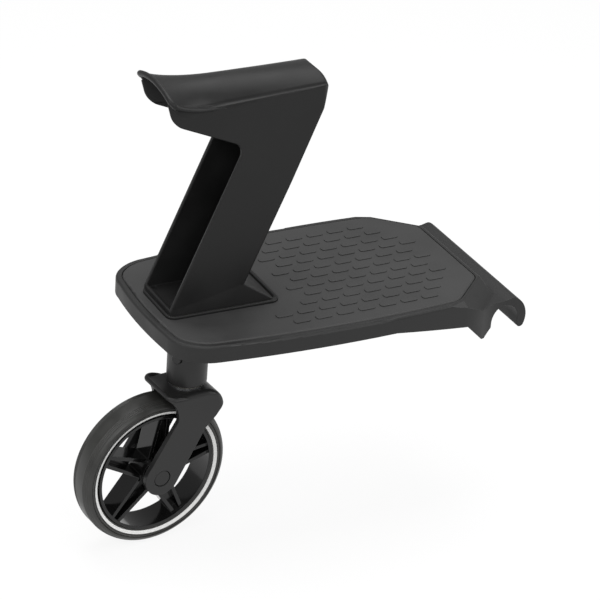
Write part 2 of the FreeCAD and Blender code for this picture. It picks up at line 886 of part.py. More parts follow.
def group(label, members):
    """Several like pieces kept as one node of separate solids."""
    bundle = doc.addObject("Part::Compound", label)
    bundle.Links = members
    return keep(bundle, label)


def make_screws():
    seat_head = ceiling_height - S.anchor_thick - S.screw_head_thick
    seat_bite = S.foot_floor - S.foot_skin - S.screw_end_gap
    seat_length = S.anchor_thick + (seat_floor - ceiling_height) + seat_bite
    group("seat_screws", [
        screw(f"seat_screw_{index}", x, y, seat_head, seat_length, S.screw_head_thick)
        for index, (x, y) in enumerate(screw_places_seat())
    ])
    stem_head = stem_seat_height - S.stem_flange_thick - S.screw_head_thick
    stem_length = S.stem_flange_thick + S.stem_screw_bite
    group("stem_screws", [
        screw(f"stem_screw_{index}", x, y, stem_head, stem_length, S.screw_head_thick)
        for index, (x, y) in enumerate(screw_places_stem())
    ])
    cover_length = S.cover_thick - S.cover_screw_sink + S.cover_screw_bite
    members = []
    for index, (x, y) in enumerate(screw_places_cover()):
        low = underside_height(float(x))
        head_low = Formula(repr(low), low) + S.cover_screw_sink - S.screw_head_thick
        members.append(screw(f"cover_screw_{index}", x, y, head_low, cover_length, S.screw_head_thick))
    group("cover_screws", members)


def anchor_bar(name, x):
    """Steel bar across the deck's ceiling, with a hole for each screw of a pair."""
    width = S.anchor_width
    length = (seat_screw_aside + S.anchor_margin) * 2
    bar = doc.addObject("PartDesign::Body", name)
    sketch = sketch_on(bar, "XY_Plane", name + "_outline")
    draw_outline(sketch, [
        (-width / 2, -length / 2),
        (width / 2, -length / 2),
        (width / 2, length / 2),
        (-width / 2, length / 2),
    ])
    for side in (-1, 1):
        centre = seat_screw_aside * side
        circle = Part.Circle(Vector(0, float(centre), 0), Vector(0, 0, 1), float(screw_hole))
        index = sketch.addGeometry(circle, False)
        sketch.addConstraint(Sketcher.Constraint("PointOnObject", index, 3, -2))
        place_row = sketch.addConstraint(Sketcher.Constraint("DistanceY", -1, 1, index, 3, float(centre)))
        size_row = sketch.addConstraint(Sketcher.Constraint("Radius", index, float(screw_hole)))
        sketch.setExpression(f"Constraints[{place_row}]", centre.text)
        sketch.setExpression(f"Constraints[{size_row}]", screw_hole.text)
    pad = bar.newObject("PartDesign::Pad", name + "_pad")
    pad.Profile = sketch
    pad.setExpression("Length", S.anchor_thick.text)
    doc.recompute()
    return place(bar, x, 0.0, ceiling_height - S.anchor_thick)


def make_anchor_bars():
    group("seat_anchor_bars", [
        anchor_bar("rear_anchor_bar", seat_screw_rear),
        anchor_bar("front_anchor_bar", seat_screw_front),
    ])


# Seat

lean = math.tan(math.radians(float(S.column_lean)))
seat_rear = foot_rear - S.seat_overhang
seat_front = seat_rear + S.seat_length
seat_crown = seat_floor + S.seat_height
seat_ridge = seat_crown - S.seat_arch
seat_front_ridge = seat_ridge + S.seat_ridge_rise
seat_lip_height = seat_ridge + S.seat_lip_rise


def polyhedron(points, faces):
    """Solid with flat faces, from corner points and the corners of each face."""
    skins = []
    for loop in faces:
        corners = [points[name] for name in loop]
        skins.append(Part.Face(Part.makePolygon(corners + [corners[0]])))
    return Part.Solid(Part.Shell(skins))


def column_rear_at(height):
    return float(foot_rear) + lean * (height - float(seat_floor + S.foot_lip))


def column_front_at(height):
    return column_rear_at(height) + float(S.column_depth)


def seat_side_profile():
    """Side outline of the seat's flat walls up to the ridge, running past the column's front."""
    lip_top = float(seat_floor + S.foot_lip)
    notch = float(seat_ridge - S.seat_wall_drop)
    past_front = float(S.seat_wall)
    return Part.Face(rounded_loop([
        (xz(foot_rear, lip_top), 0),
        (xz(column_rear_at(notch), notch), float(S.column_corner)),
        (xz(seat_rear + S.seat_chin_set_in, seat_ridge - S.seat_chin), float(S.seat_chin_round)),
        (xz(seat_rear, seat_lip_height - S.seat_wall * 1.5), 0),
        (xz(seat_rear + S.seat_flare_run, seat_ridge), 0),
        (xz(seat_front + past_front, seat_front_ridge), 0),
        (xz(column_front_at(lip_top) + past_front, lip_top), 0),
    ]))


def seat_silhouette():
    """Side outline that gives the column and saddle their front, clear of them everywhere else."""
    rear = seat_rear - S.seat_wall
    low = float(seat_floor)
    bend = float(seat_front_ridge - S.seat_front_drop)
    above = seat_crown + S.seat_wall
    return Part.Face(rounded_loop([
        (xz(rear, low), 0),
        (xz(rear, above), 0),
        (xz(seat_front - S.seat_front_round * 3, above), 0),
        (xz(seat_front, seat_crown - S.seat_front_fall), float(S.seat_front_round)),
        (xz(column_front_at(bend), bend), float(S.seat_front_drop)),
        (xz(column_front_at(low), low), 0),
    ]))


def channel_profile():
    """Side outline of the open channel inside the seat and column."""
    wall = float(S.seat_wall)
    floor = float(seat_floor + S.foot_floor)
    lip_top = float(seat_floor + S.foot_lip)
    rear = seat_rear - 4 * wall
    foot_inner = foot_rear + wall
    bend = float(seat_front_ridge - S.seat_front_drop)
    return Part.Face(rounded_loop([
        (xz(foot_inner, floor), 0),
        (xz(foot_inner, lip_top), 0),
        (xz(rear, lip_top), 0),
        (xz(rear, seat_ridge), 0),
        (xz(seat_front - 3 * wall, seat_ridge), 0),
        (xz(column_front_at(bend) - wall, bend), float(S.seat_front_drop)),
        (xz(column_front_at(floor) - wall, floor), 0),
    ]))


def inner_section(x, half, low_half, ridge, crown, low):
    """One cross section of the saddle's inside: straight sides under a round arch."""
    left = Vector(x, -half, ridge)
    right = Vector(x, half, ridge)
    low_left = Vector(x, -low_half, low)
    low_right = Vector(x, low_half, low)
    edges = [
        Part.LineSegment(low_left, left),
        Part.Arc(left, Vector(x, 0, crown), right),
        Part.LineSegment(right, low_right),
        Part.LineSegment(low_right, low_left),
    ]
    return Part.Wire([edge.toShape() for edge in edges])


def outer_section(x, half, low_half, ridge, crown, low, share):
    """One cross section of the saddle's outside: flared sides, a ledge, a hollow band and a round arch."""
    ledge = float(S.seat_ledge) * share
    band = float(S.seat_band) * share
    ledge_top = ridge + ledge * LEDGE_SLOPE
    band_foot = half - ledge
    right = [
        Vector(x, low_half, low),
        Vector(x, half, ridge),
        Vector(x, band_foot, ledge_top),
        Vector(x, band_foot - band * BAND_LEAN * BAND_BULGE, ledge_top + band * (1 - BAND_BULGE)),
        Vector(x, band_foot - band * BAND_LEAN, ledge_top + band),
    ]
    left = [Vector(x, -point.y, point.z) for point in right]
    edges = [
        Part.LineSegment(left[0], left[1]),
        Part.LineSegment(left[1], left[2]),
        Part.Arc(left[2], left[3], left[4]),
        Part.Arc(left[4], Vector(x, 0, crown), right[4]),
        Part.Arc(right[4], right[3], right[2]),
        Part.LineSegment(right[2], right[1]),
        Part.LineSegment(right[1], right[0]),
        Part.LineSegment(right[0], left[0]),
    ]
    return Part.Wire([edge.toShape() for edge in edges])


def flare_at(x):
    """How far the saddle has flared at a place along it: one at the lip, nought past the flare."""
    back = x - float(seat_rear)
    return max(0.0, 1 - back / float(S.seat_flare_run)) ** 2


def crown_at(x):
    """Half width, ridge height and crown height of the saddle at a place along it."""
    back = x - float(seat_rear)
    flare = flare_at(x)
    edge_half = float(S.seat_half_width - S.seat_crease)
    half = edge_half + (float(S.seat_lip_half_width) - edge_half) * flare
    edge_ridge = float(seat_ridge - S.seat_crease) + float(S.seat_ridge_rise / S.seat_length) * back
    ridge = edge_ridge + (float(seat_lip_height) - edge_ridge) * flare
    fall = float(S.seat_front_fall / S.seat_length) * back
    crown = float(seat_crown) - fall + float(S.seat_lip_kick) * flare
    return half, ridge, crown


def crown_wire(x, wall):
    """The saddle's section at a place along it, drawn in by a wall under its arch."""
    half, ridge, crown = crown_at(x)
    low_half = float(S.seat_half_width - S.seat_crease)
    if wall > 0:
        rise = crown - ridge
        radius = (half ** 2 + rise ** 2) / (2 * rise)
        half = min(low_half - wall + (half - low_half) / 4, 0.97 * (radius - wall))
        ridge = crown - radius + math.sqrt((radius - wall) ** 2 - half ** 2)
        low = float(seat_ridge) - 4 * wall
        return inner_section(x, half, half, ridge, crown - wall, low)
    flare = flare_at(x)
    low = ridge - float(S.seat_wall) - float(S.seat_flare_drop) * 4 * flare * (1 - flare)
    ahead = (x - float(seat_rear)) / float(S.seat_length)
    share = max(LEAST_SHARE, (1 - math.sqrt(flare)) * (1 - FRONT_FADE * ahead))
    return outer_section(x, half, low_half, ridge, crown, low, share)


def crown_loft(first, last, wall):
    """The saddle's solid between two places along it: a flared rear, then straight to the front."""
    flare_end = float(seat_rear + S.seat_flare_run)
    step = (flare_end - first) / (FLARE_SECTIONS - 1)
    flared = [crown_wire(first + step * index, wall) for index in range(FLARE_SECTIONS)]
    straight = [crown_wire(flare_end, wall), crown_wire(last, wall)]
    return Part.makeLoft(flared, True, False).fuse(Part.makeLoft(straight, True, True))


def nose_wire(x, inset):
    """One cross section of the nose's envelope: upright sides under a round arch, drawn in all round."""
    reach = NOSE_CLEAR - inset
    half = float(S.seat_half_width) + reach
    shoulder = float(seat_front_ridge) + reach
    crown = crown_at(x)[2] + reach
    return inner_section(x, half, half, shoulder, crown, float(seat_floor) - PAST)


def nose_envelope():
    """Block round the seat whose front end is drawn in by a quarter circle to a round nose."""
    nose = float(S.seat_nose_round)
    start = float(seat_front) - nose
    rear = float(seat_rear) - nose
    half = float(S.seat_lip_half_width) + nose
    low = float(seat_floor) - PAST
    height = float(S.seat_height + S.seat_lip_kick) + nose
    behind = Part.makeBox(start - rear, 2 * half, height, Vector(rear, -half, low))
    sections = []
    for heading in NOSE_HEADINGS:
        turn = math.radians(heading)
        sections.append(nose_wire(start + nose * math.sin(turn), nose * (1 - math.cos(turn))))
    return behind.fuse(Part.makeLoft(sections, True, False))


def make_seat_shell():
    half = float(S.seat_half_width)
    wall = float(S.seat_wall)
    base = float(seat_floor)
    lip_top = base + float(S.foot_lip)
    rise = base + float(S.foot_rise)
    rear = float(foot_rear)
    front = rear + float(S.foot_length)
    column_front = column_front_at(rise)
    points = {}
    for name, side in (("near", -1), ("far", 1)):
        points[name + "_rear_low"] = Vector(rear, side * float(foot_rear_half), base)
        points[name + "_front_low"] = Vector(front, side * float(foot_front_half), base)
        points[name + "_rear_top"] = Vector(rear, side * half, lip_top)
        points[name + "_column"] = Vector(column_front, side * half, rise)
    faces = [
        ["near_rear_low", "far_rear_low", "far_front_low", "near_front_low"],
        ["near_rear_low", "near_rear_top", "far_rear_top", "far_rear_low"],
        ["near_rear_top", "near_column", "far_column", "far_rear_top"],
        ["near_column", "near_front_low", "far_front_low", "far_column"],
        ["near_rear_low", "near_front_low", "near_rear_top"],
        ["near_rear_top", "near_front_low", "near_column"],
        ["far_rear_low", "far_front_low", "far_rear_top"],
        ["far_rear_top", "far_front_low", "far_column"],
    ]
    foot = polyhedron(points, faces).fuse(foot_block(0.0, float(mat_floor), base))
    walls = prism_y(seat_side_profile(), half)
    saddle = crown_loft(float(seat_rear), float(seat_front) + wall, 0.0)
    saddle_top = float(seat_crown + S.seat_lip_kick) + PAST
    for side in (-1, 1):
        edge = side * float(S.seat_lip_half_width)
        waste = rear_corner(float(seat_rear), edge, float(S.seat_lip_corner), base, saddle_top)
        saddle = saddle.cut(waste)
    inside = crown_loft(float(seat_rear) - wall, float(seat_front) - 2 * wall, wall)
    channel = prism_y(channel_profile(), half - wall)
    silhouette = prism_y(seat_silhouette(), float(S.seat_lip_half_width) + wall)
    outside = walls.fuse([saddle]).common(silhouette).common(nose_envelope())
    body = outside.fuse(foot).cut(channel.fuse(inside))
    hole_top = seat_floor + S.foot_floor - S.foot_skin
    for x, y in screw_places_seat():
        body = body.cut(upright_hole(x, y, screw_hole, mat_floor - PAST, hole_top))
    body = body.removeSplitter()
    return keep(feature("seat_shell", body), "seat_shell")


# Stem, swivel and wheel release

stem_x = -stem_place
pin_radius = S.pin_dia / 2
bush_bore = pin_radius + S.running_gap
bush_radius = bush_bore + S.bush_wall
stem_top = stem_seat_height
stem_bottom = -S.stem_drop
bush_flange_low = stem_bottom - S.bush_flange_thick
washer_top = bush_flange_low - S.swivel_gap
crown_top = washer_top - S.washer_thick
crown_under = crown_top - S.fork_crown
pin_top = stem_top - S.bush_flange_thick
button_z = -S.button_drop
button_turn = S.button_angle + 180.0
groove_radius = pin_radius - S.pin_groove_depth
plate_front = S.stem_dia / 2 - S.plate_inset
plate_back = -(groove_radius + S.plate_end)
slot_back = plate_back - S.release_spring_length
slot_height = S.plate_thick + S.plate_fit * 2


def make_stem_housing():
    tube = turned("stem_tube", [
        (bush_radius, stem_bottom),
        (S.stem_dia / 2, stem_bottom),
        (S.stem_dia / 2, stem_top - S.stem_flange_thick),
        (stem_flange_radius, stem_top - S.stem_flange_thick),
        (stem_flange_radius, stem_top),
        (bush_radius, stem_top),
    ], UPRIGHT)
    place(tube, stem_x, 0.0, 0.0)
    slot = doc.addObject("Part::Box", "release_slot")
    slot.setExpression("Length", (plate_front + S.plate_stop - slot_back).text)
    slot.setExpression("Width", (S.plate_width + S.plate_fit * 2).text)
    slot.setExpression("Height", slot_height.text)
    turn_x = cosine(button_turn)
    turn_y = sine(button_turn)
    half_width = S.plate_width / 2 + S.plate_fit
    corner_x = stem_x + slot_back * turn_x + half_width * turn_y
    corner_y = slot_back * turn_y - half_width * turn_x
    place(slot, corner_x, corner_y, button_z - slot_height / 2, button_turn)
    well = doc.addObject("Part::Cylinder", "button_well")
    well.setExpression("Radius", (S.button_dia / 2 + S.button_gap).text)
    well.setExpression("Height", S.stem_dia.text)
    spring_well = doc.addObject("Part::Cylinder", "spring_well")
    spring_well.setExpression("Radius", (S.release_spring_dia / 2 + S.plate_fit).text)
    spring_well.setExpression("Height", (plate_front - slot_back).text)
    along = Rotation(Vector(0, 0, 1), float(button_turn)).multiply(Rotation(Vector(0, 1, 0), 90))
    for tool, start in ((well, plate_front - S.button_travel - S.plate_fit), (spring_well, slot_back)):
        tool.Placement = Placement(Vector(0, 0, 0), along)
        tool.setExpression("Placement.Base.x", (stem_x + start * turn_x).text)
        tool.setExpression("Placement.Base.y", (start * turn_y).text)
        tool.setExpression("Placement.Base.z", button_z.text)
    tools = doc.addObject("Part::MultiFuse", "release_cut")
    holes = []
    for index, (x, y) in enumerate(screw_places_stem()):
        hole = doc.addObject("Part::Cylinder", f"flange_hole_{index}")
        hole.setExpression("Radius", screw_hole.text)
        hole.setExpression("Height", (S.stem_flange_thick * 3).text)
        place(hole, x, y, stem_top - S.stem_flange_thick * 2)
        holes.append(hole)
    tools.Shapes = [slot, well, spring_well] + holes
    housing = doc.addObject("Part::Cut", "stem_cut")
    housing.Base = tube
    housing.Tool = tools
    return keep(housing, "stem_housing")


def make_swivel():
    lower = turned("lower_bush_body", [
        (bush_bore, bush_flange_low),
        (S.bush_flange_dia / 2, bush_flange_low),
        (S.bush_flange_dia / 2, stem_bottom),
        (bush_radius, stem_bottom),
        (bush_radius, stem_bottom + S.bush_length),
        (bush_bore, stem_bottom + S.bush_length),
    ], UPRIGHT)
    keep(place(lower, stem_x, 0.0, 0.0), "lower_swivel_bush")
    upper_low = stem_top - S.bush_length
    upper = ring("upper_bush_body", bush_bore, bush_radius, upper_low, stem_top, UPRIGHT)
    keep(place(upper, stem_x, 0.0, 0.0), "upper_swivel_bush")
    washer = ring("washer_body", pin_radius, S.washer_dia / 2, crown_top, washer_top, UPRIGHT)
    keep(place(washer, stem_x, 0.0, 0.0, S.swivel_at_rest), "thrust_washer")
    groove_low = button_z - slot_height / 2
    groove_high = button_z + slot_height / 2
    pin = turned("kingpin_body", [
        (0.0, crown_under - S.pin_head_thick),
        (S.pin_head_dia / 2, crown_under - S.pin_head_thick),
        (S.pin_head_dia / 2, crown_under),
        (pin_radius, crown_under),
        (pin_radius, groove_low),
        (groove_radius, groove_low),
        (groove_radius, groove_high),
        (pin_radius, groove_high),
        (pin_radius, pin_top - S.pin_bevel),
        (pin_radius - S.pin_bevel, pin_top),
        (0.0, pin_top),
    ], UPRIGHT)
    keep(place(pin, stem_x, 0.0, 0.0, S.swivel_at_rest), "kingpin")


def spring_tube(outer, wire, length, start):
    """Plain tube in place of a hidden coil spring, along +X from a starting point."""
    along = Vector(1, 0, 0)
    radius = float(outer) / 2
    tube = Part.makeCylinder(radius, float(length), start, along)
    core = Part.makeCylinder(radius - float(wire), float(length) + 2 * PAST, start - along * PAST, along)
    return tube.cut(core)


def make_release_button():
    """Button and its slotted plate in one moulding, drawn pointing along +X out of the stem."""
    thick = float(S.plate_thick)
    width = float(S.plate_width)
    back = float(plate_back)
    front = float(plate_front)
    fit = float(S.plate_fit)
    slot_half = float(pin_radius) + fit
    slot_rear = -float(groove_radius) - fit
    slot_front = float(pin_radius + S.button_travel) + fit
    plate = Part.makeBox(front - back, width, thick, Vector(back, -width / 2, -thick / 2))
    window = Part.makeBox(
        slot_front - slot_rear,
        2 * slot_half,
        thick + 2 * PAST,
        Vector(slot_rear, -slot_half, -thick / 2 - PAST),
    )
    length = float(S.stem_dia / 2 + S.button_proud) - front
    face = front + length
    cap = Part.makeCylinder(float(S.button_dia) / 2, length, Vector(front, 0, 0), Vector(1, 0, 0))
    rim = [edge for edge in cap.Edges if edge.Closed and abs(edge.CenterOfMass.x - face) < 1e-6]
    cap = cap.makeFillet(float(S.button_round), rim)
    shape = plate.cut(window).fuse(cap).removeSplitter()
    pointing = Rotation(Vector(0, 0, 1), float(button_turn))
    at = Placement(Vector(float(stem_x), 0, float(button_z)), pointing)
    keep(feature("wheel_release_button", shape, at), "wheel_release_button")
    start = Vector(float(slot_back), 0, 0)
    spring = spring_tube(S.release_spring_dia, S.release_spring_wire, S.release_spring_length, start)
    keep(feature("release_spring", spring, at), "release_spring")


# Fork, drawn about the stem's axis and turned by the swivel

axle_y = S.fork_width / 2
boss_face = S.fork_width / 2 - S.fork_leg - S.hub_boss
recess_floor = S.fork_width / 2 - S.recess_depth


def fork_outer_profile():
    """Side outline of a leg and the crown, from the flared rear tip round to the hub."""
    top = float(crown_top)
    rear = -float(S.fork_rear)
    front = float(S.fork_front)
    trail = -float(S.trail)
    axle = -float(S.axle_drop)
    hub = float(S.hub_radius)
    flare = float(S.fork_flare)
    drop = top - axle
    waist = xz(trail + float(S.fork_waist), axle + 0.69 * drop)
    notch = xz(front - float(S.fork_notch), axle + 0.65 * drop)
    knee = xz(front - float(S.fork_knee), axle + 0.52 * drop)
    tip_low = xz(rear, top + flare - float(S.fork_lip))
    centre = xz(trail, axle)

    def tangent(point, side):
        """Where a line from a point touches the hub's circle, on one side of it."""
        gap = point - centre
        reach = gap.Length
        turn = math.acos(hub / reach) * side
        unit = gap / reach
        spun = xz(
            unit.x * math.cos(turn) - unit.z * math.sin(turn),
            unit.x * math.sin(turn) + unit.z * math.cos(turn),
        )
        return centre + spun * hub

    rear_touch = tangent(waist, 1)
    front_touch = tangent(knee, -1)
    hub_low = centre + (centre - (waist + knee) * 0.5).normalize() * hub
    flare_curve = Part.BezierCurve()
    flat_rear = -float(S.washer_dia) / 2 - PAST
    spread = flat_rear - rear
    flare_curve.setPoles([
        xz(rear, top + flare),
        xz(rear + 0.4 * spread, top + 0.1 * flare),
        xz(rear + 0.7 * spread, top),
        xz(flat_rear, top),
    ])
    lobe = Part.BezierCurve()
    lobe_drop = float(S.fork_lobe)
    lobe_tip = xz(front, top - lobe_drop)
    flat_front = 0.2 * front
    lobe.setPoles([
        xz(flat_front, top),
        xz(0.65 * front, top),
        xz(0.93 * front, top - 0.47 * lobe_drop),
        lobe_tip,
    ])
    rear_sweep = Part.BezierCurve()
    rear_sweep.setPoles([
        waist,
        waist + xz(0.1, 0.6) * lobe_drop,
        xz(0.82 * rear, top - 0.24 * lobe_drop),
        tip_low,
    ])
    edges = [
        flare_curve,
        Part.LineSegment(xz(flat_rear, top), xz(flat_front, top)),
        lobe,
        Part.LineSegment(lobe_tip, notch),
        Part.LineSegment(notch, knee),
        Part.LineSegment(knee, front_touch),
        Part.Arc(front_touch, hub_low, rear_touch),
        Part.LineSegment(rear_touch, waist),
        rear_sweep,
        Part.LineSegment(tip_low, xz(rear, top + flare)),
    ]
    return Part.Face(Part.Wire([edge.toShape() for edge in edges]))


def fork_inner_profile():
    """Side outline of the space between the legs, under the crown."""
    under = float(crown_under)
    crown = float(S.fork_crown)
    rear = -float(S.fork_rear)
    front = float(S.fork_front)
    hub = float(S.hub_radius)
    low = -float(S.axle_drop) - 2 * hub
    far_rear = -float(S.trail) - 4 * hub
    past_front = front + hub
    return Part.Face(Part.makePolygon([
        xz(far_rear, under + 0.6 * crown),
        xz(rear, under + 0.6 * crown),
        xz(0.42 * rear, under),
        xz(front - 2.3 * crown, under),
        xz(front - 0.45 * crown, under - 2 * crown),
        xz(past_front, under - 3.4 * crown),
        xz(past_front, low),
        xz(far_rear, low),
        xz(far_rear, under + 0.6 * crown),
    ]))


def axle_cylinder(radius, low, high):
    """Cylinder along the axle, in the fork's own frame."""
    start = Vector(-float(S.trail), float(low), -float(S.axle_drop))
    return Part.makeCylinder(float(radius), float(high) - float(low), start, Vector(0, 1, 0))


def swivelled(label, shape):
    at = Placement(Vector(float(stem_x), 0, 0), Rotation(Vector(0, 0, 1), float(S.swivel_at_rest)))
    return keep(feature(label, shape, at), label)


def make_fork():
    half = float(S.fork_width) / 2
    outer = prism_y(fork_outer_profile(), half)
    crown = float(crown_top)
    top_edges = []
    for edge in outer.Edges:
        box = edge.BoundBox
        on_side = box.YLength < 1e-6 and abs(abs(box.YMin) - half) < 1e-6
        level_top = abs(box.ZMax - crown) < TOUCH and box.XMin > -float(S.fork_rear) + PAST
        if on_side and level_top and box.XLength > PAST:
            top_edges.append(edge)
    outer = outer.makeFillet(float(S.fork_round), top_edges)
    corner_low = float(crown_under - S.fork_crown)
    corner_high = float(crown_top + S.fork_flare) + PAST
    for side in (-1, 1):
        edge = side * half
        waste = rear_corner(-float(S.fork_rear), edge, float(S.fork_tip_corner), corner_low, corner_high)
        outer = outer.cut(waste)
    fork = outer.cut(prism_y(fork_inner_profile(), half - float(S.fork_leg)))
    boss_radius = S.hub_boss_dia / 2
    for side in (-1, 1):
        inner, edge = sorted((side * float(boss_face), side * (half - float(S.fork_leg) / 2)))
        fork = fork.fuse(axle_cylinder(boss_radius, inner, edge))
    fork = fork.cut(axle_cylinder(S.bearing_bore / 2, -half - PAST, half + PAST))
    for side in (-1, 1):
        inner, edge = sorted((side * float(recess_floor), side * (half + PAST)))
        fork = fork.cut(axle_cylinder(S.cap_dia / 2 + S.cap_gap, inner, edge))
    fork = fork.cut(upright_hole(0, 0, pin_radius, crown_under - S.fork_crown, crown_top + S.fork_crown))
    return swivelled("caster_fork", fork.removeSplitter())


# Wheel, turned about its axle

wheel_x = stem_x - S.trail * cosine(S.swivel_at_rest)
wheel_y = -(S.trail * sine(S.swivel_at_rest))
wheel_z = -S.axle_drop
tyre_radius = S.tyre_dia / 2
seat_radius = S.tyre_seat_dia / 2
axle_radius = S.bearing_bore / 2 - S.axle_gap
bearing_outer_face = S.bearing_place + S.bearing_width
shoulder_radius = S.stripe_inner_dia / 2 + S.stripe_width + S.shoulder_margin


def on_axle(obj, label):
    return keep(place(obj, wheel_x, wheel_y, wheel_z, S.swivel_at_rest), label)


def sidewall_at(radius):
    """Half width of the tyre at a radius on its flat side."""
    share = (radius - seat_radius) / (shoulder_radius - seat_radius)
    return S.bead_width / 2 + (S.tyre_width - S.bead_width) / 2 * share


def make_tyre():
    half = S.tyre_width / 2
    bead = S.bead_width / 2
    tread = S.tread_width / 2
    mid = shoulder_radius + S.shoulder_height
    body = turned("tyre_body", [
        (seat_radius, -bead),
        (shoulder_radius, -half),
        (mid, -half),
        (tyre_radius, -tread),
        (tyre_radius, tread),
        (mid, half),
        (shoulder_radius, half),
        (seat_radius, bead),
    ], ON_AXLE)
    rims = []
    for index, edge in enumerate(body.Shape.Edges, start=1):
        if edge.Closed and abs(edge.BoundBox.XLength / 2 - float(tyre_radius)) < TOUCH:
            rims.append(f"Edge{index}")
    tip = body.Tip
    rounding = body.newObject("PartDesign::Fillet", "tread_rounding")
    rounding.Base = (tip, rims)
    rounding.setExpression("Radius", S.tread_round.text)
    doc.recompute()
    on_axle(body, "tyre")


def make_stripe(label, side):
    low = S.stripe_inner_dia / 2
    high = low + S.stripe_width
    body = turned(label + "_body", [
        (low, sidewall_at(low) * side),
        (high, sidewall_at(high) * side),
        (high, (sidewall_at(high) + S.stripe_proud) * side),
        (low, (sidewall_at(low) + S.stripe_proud) * side),
    ], ON_AXLE)
    on_axle(body, label)


def make_rim():
    half = S.rim_width / 2
    barrel = seat_radius - S.rim_wall
    hub = S.hub_dia / 2
    hub_face = bearing_outer_face
    seat = S.bearing_dia / 2
    bore = S.spacer_dia / 2 + S.spacer_gap
    body = turned("rim_body", [
        (barrel, -half),
        (seat_radius, -half),
        (seat_radius, half),
        (barrel, half),
    ], ON_AXLE)
    hub_sketch = sketch_on(body, ON_AXLE, "hub_profile")
    draw_outline(hub_sketch, [
        (bore, -S.bearing_place),
        (seat, -S.bearing_place),
        (seat, -hub_face),
        (hub, -hub_face),
        (hub, hub_face),
        (seat, hub_face),
        (seat, S.bearing_place),
        (bore, S.bearing_place),
    ])
    inner = hub - S.spoke_rib / 3
    outer = barrel + S.rim_wall / 4
    rib = S.spoke_rib
    wide = S.spoke_hub_spread / 2
    narrow = S.spoke_rim_spread / 2
    spoke_sketch = sketch_on(body, "XZ_Plane", "spoke_ribs")
    for side in (-1, 1):
        draw_outline(spoke_sketch, [
            (wide * side, inner * 0.62),
            ((wide - rib) * side, inner * 0.78),
            ((narrow - rib) * side, outer),
            (narrow * side, outer),
        ])
    web_sketch = sketch_on(body, "XZ_Plane", "spoke_web")
    web_low = hub + S.spoke_window
    draw_outline(web_sketch, [
        (-wide * 0.7, web_low),
        (wide * 0.7, web_low),
        (narrow - rib / 2, outer),
        (-narrow + rib / 2, outer),
    ])
    for sketch in (spoke_sketch, web_sketch):
        sketch.AttachmentOffset = Placement(Vector(), Rotation(Vector(0, 0, -1), float(S.spoke_turn)))
    ribs = body.newObject("PartDesign::Pad", "rib_pad")
    ribs.Profile = spoke_sketch
    ribs.AllowMultiFace = True
    ribs.Midplane = True
    ribs.setExpression("Length", S.spoke_depth.text)
    web = body.newObject("PartDesign::Pad", "web_pad")
    web.Profile = web_sketch
    web.Midplane = True
    web.setExpression("Length", S.spoke_web.text)
    pattern = body.newObject("PartDesign::PolarPattern", "spoke_pattern")
    pattern.Originals = [ribs, web]
    pattern.Axis = (body_plane(body, "Y_Axis"), [""])
    pattern.Angle = 360
    pattern.Occurrences = SPOKES
    body.Tip = pattern
    hub_turn = body.newObject("PartDesign::Revolution", "hub_turn")
    hub_turn.Profile = hub_sketch
    hub_turn.ReferenceAxis = (hub_sketch, ["V_Axis"])
    hub_turn.Angle = 360
    body.Tip = hub_turn
    doc.recompute()
    on_axle(body, "wheel_rim")


def make_bearings():
    for label, side in (("near_wheel_bearing", -1), ("far_wheel_bearing", 1)):
        inner = S.bearing_bore / 2
        outer = S.bearing_dia / 2
        land = (S.bearing_dia - S.bearing_bore) / 2 * 0.3
        dish = S.bearing_dish
        low = S.bearing_place * side
        high = bearing_outer_face * side
        body = turned(label + "_body", [
            (inner, low),
            (outer, low),
            (outer, high),
            (outer - land, high),
            (outer - land, high - dish * side),
            (inner + land, high - dish * side),
            (inner + land, high),
            (inner, high),
        ], ON_AXLE)
        on_axle(body, label)
    inner = S.bearing_bore / 2
    spacer = ring("spacer_body", inner, S.spacer_dia / 2, -S.bearing_place, S.bearing_place, ON_AXLE)
    on_axle(spacer, "bearing_spacer")


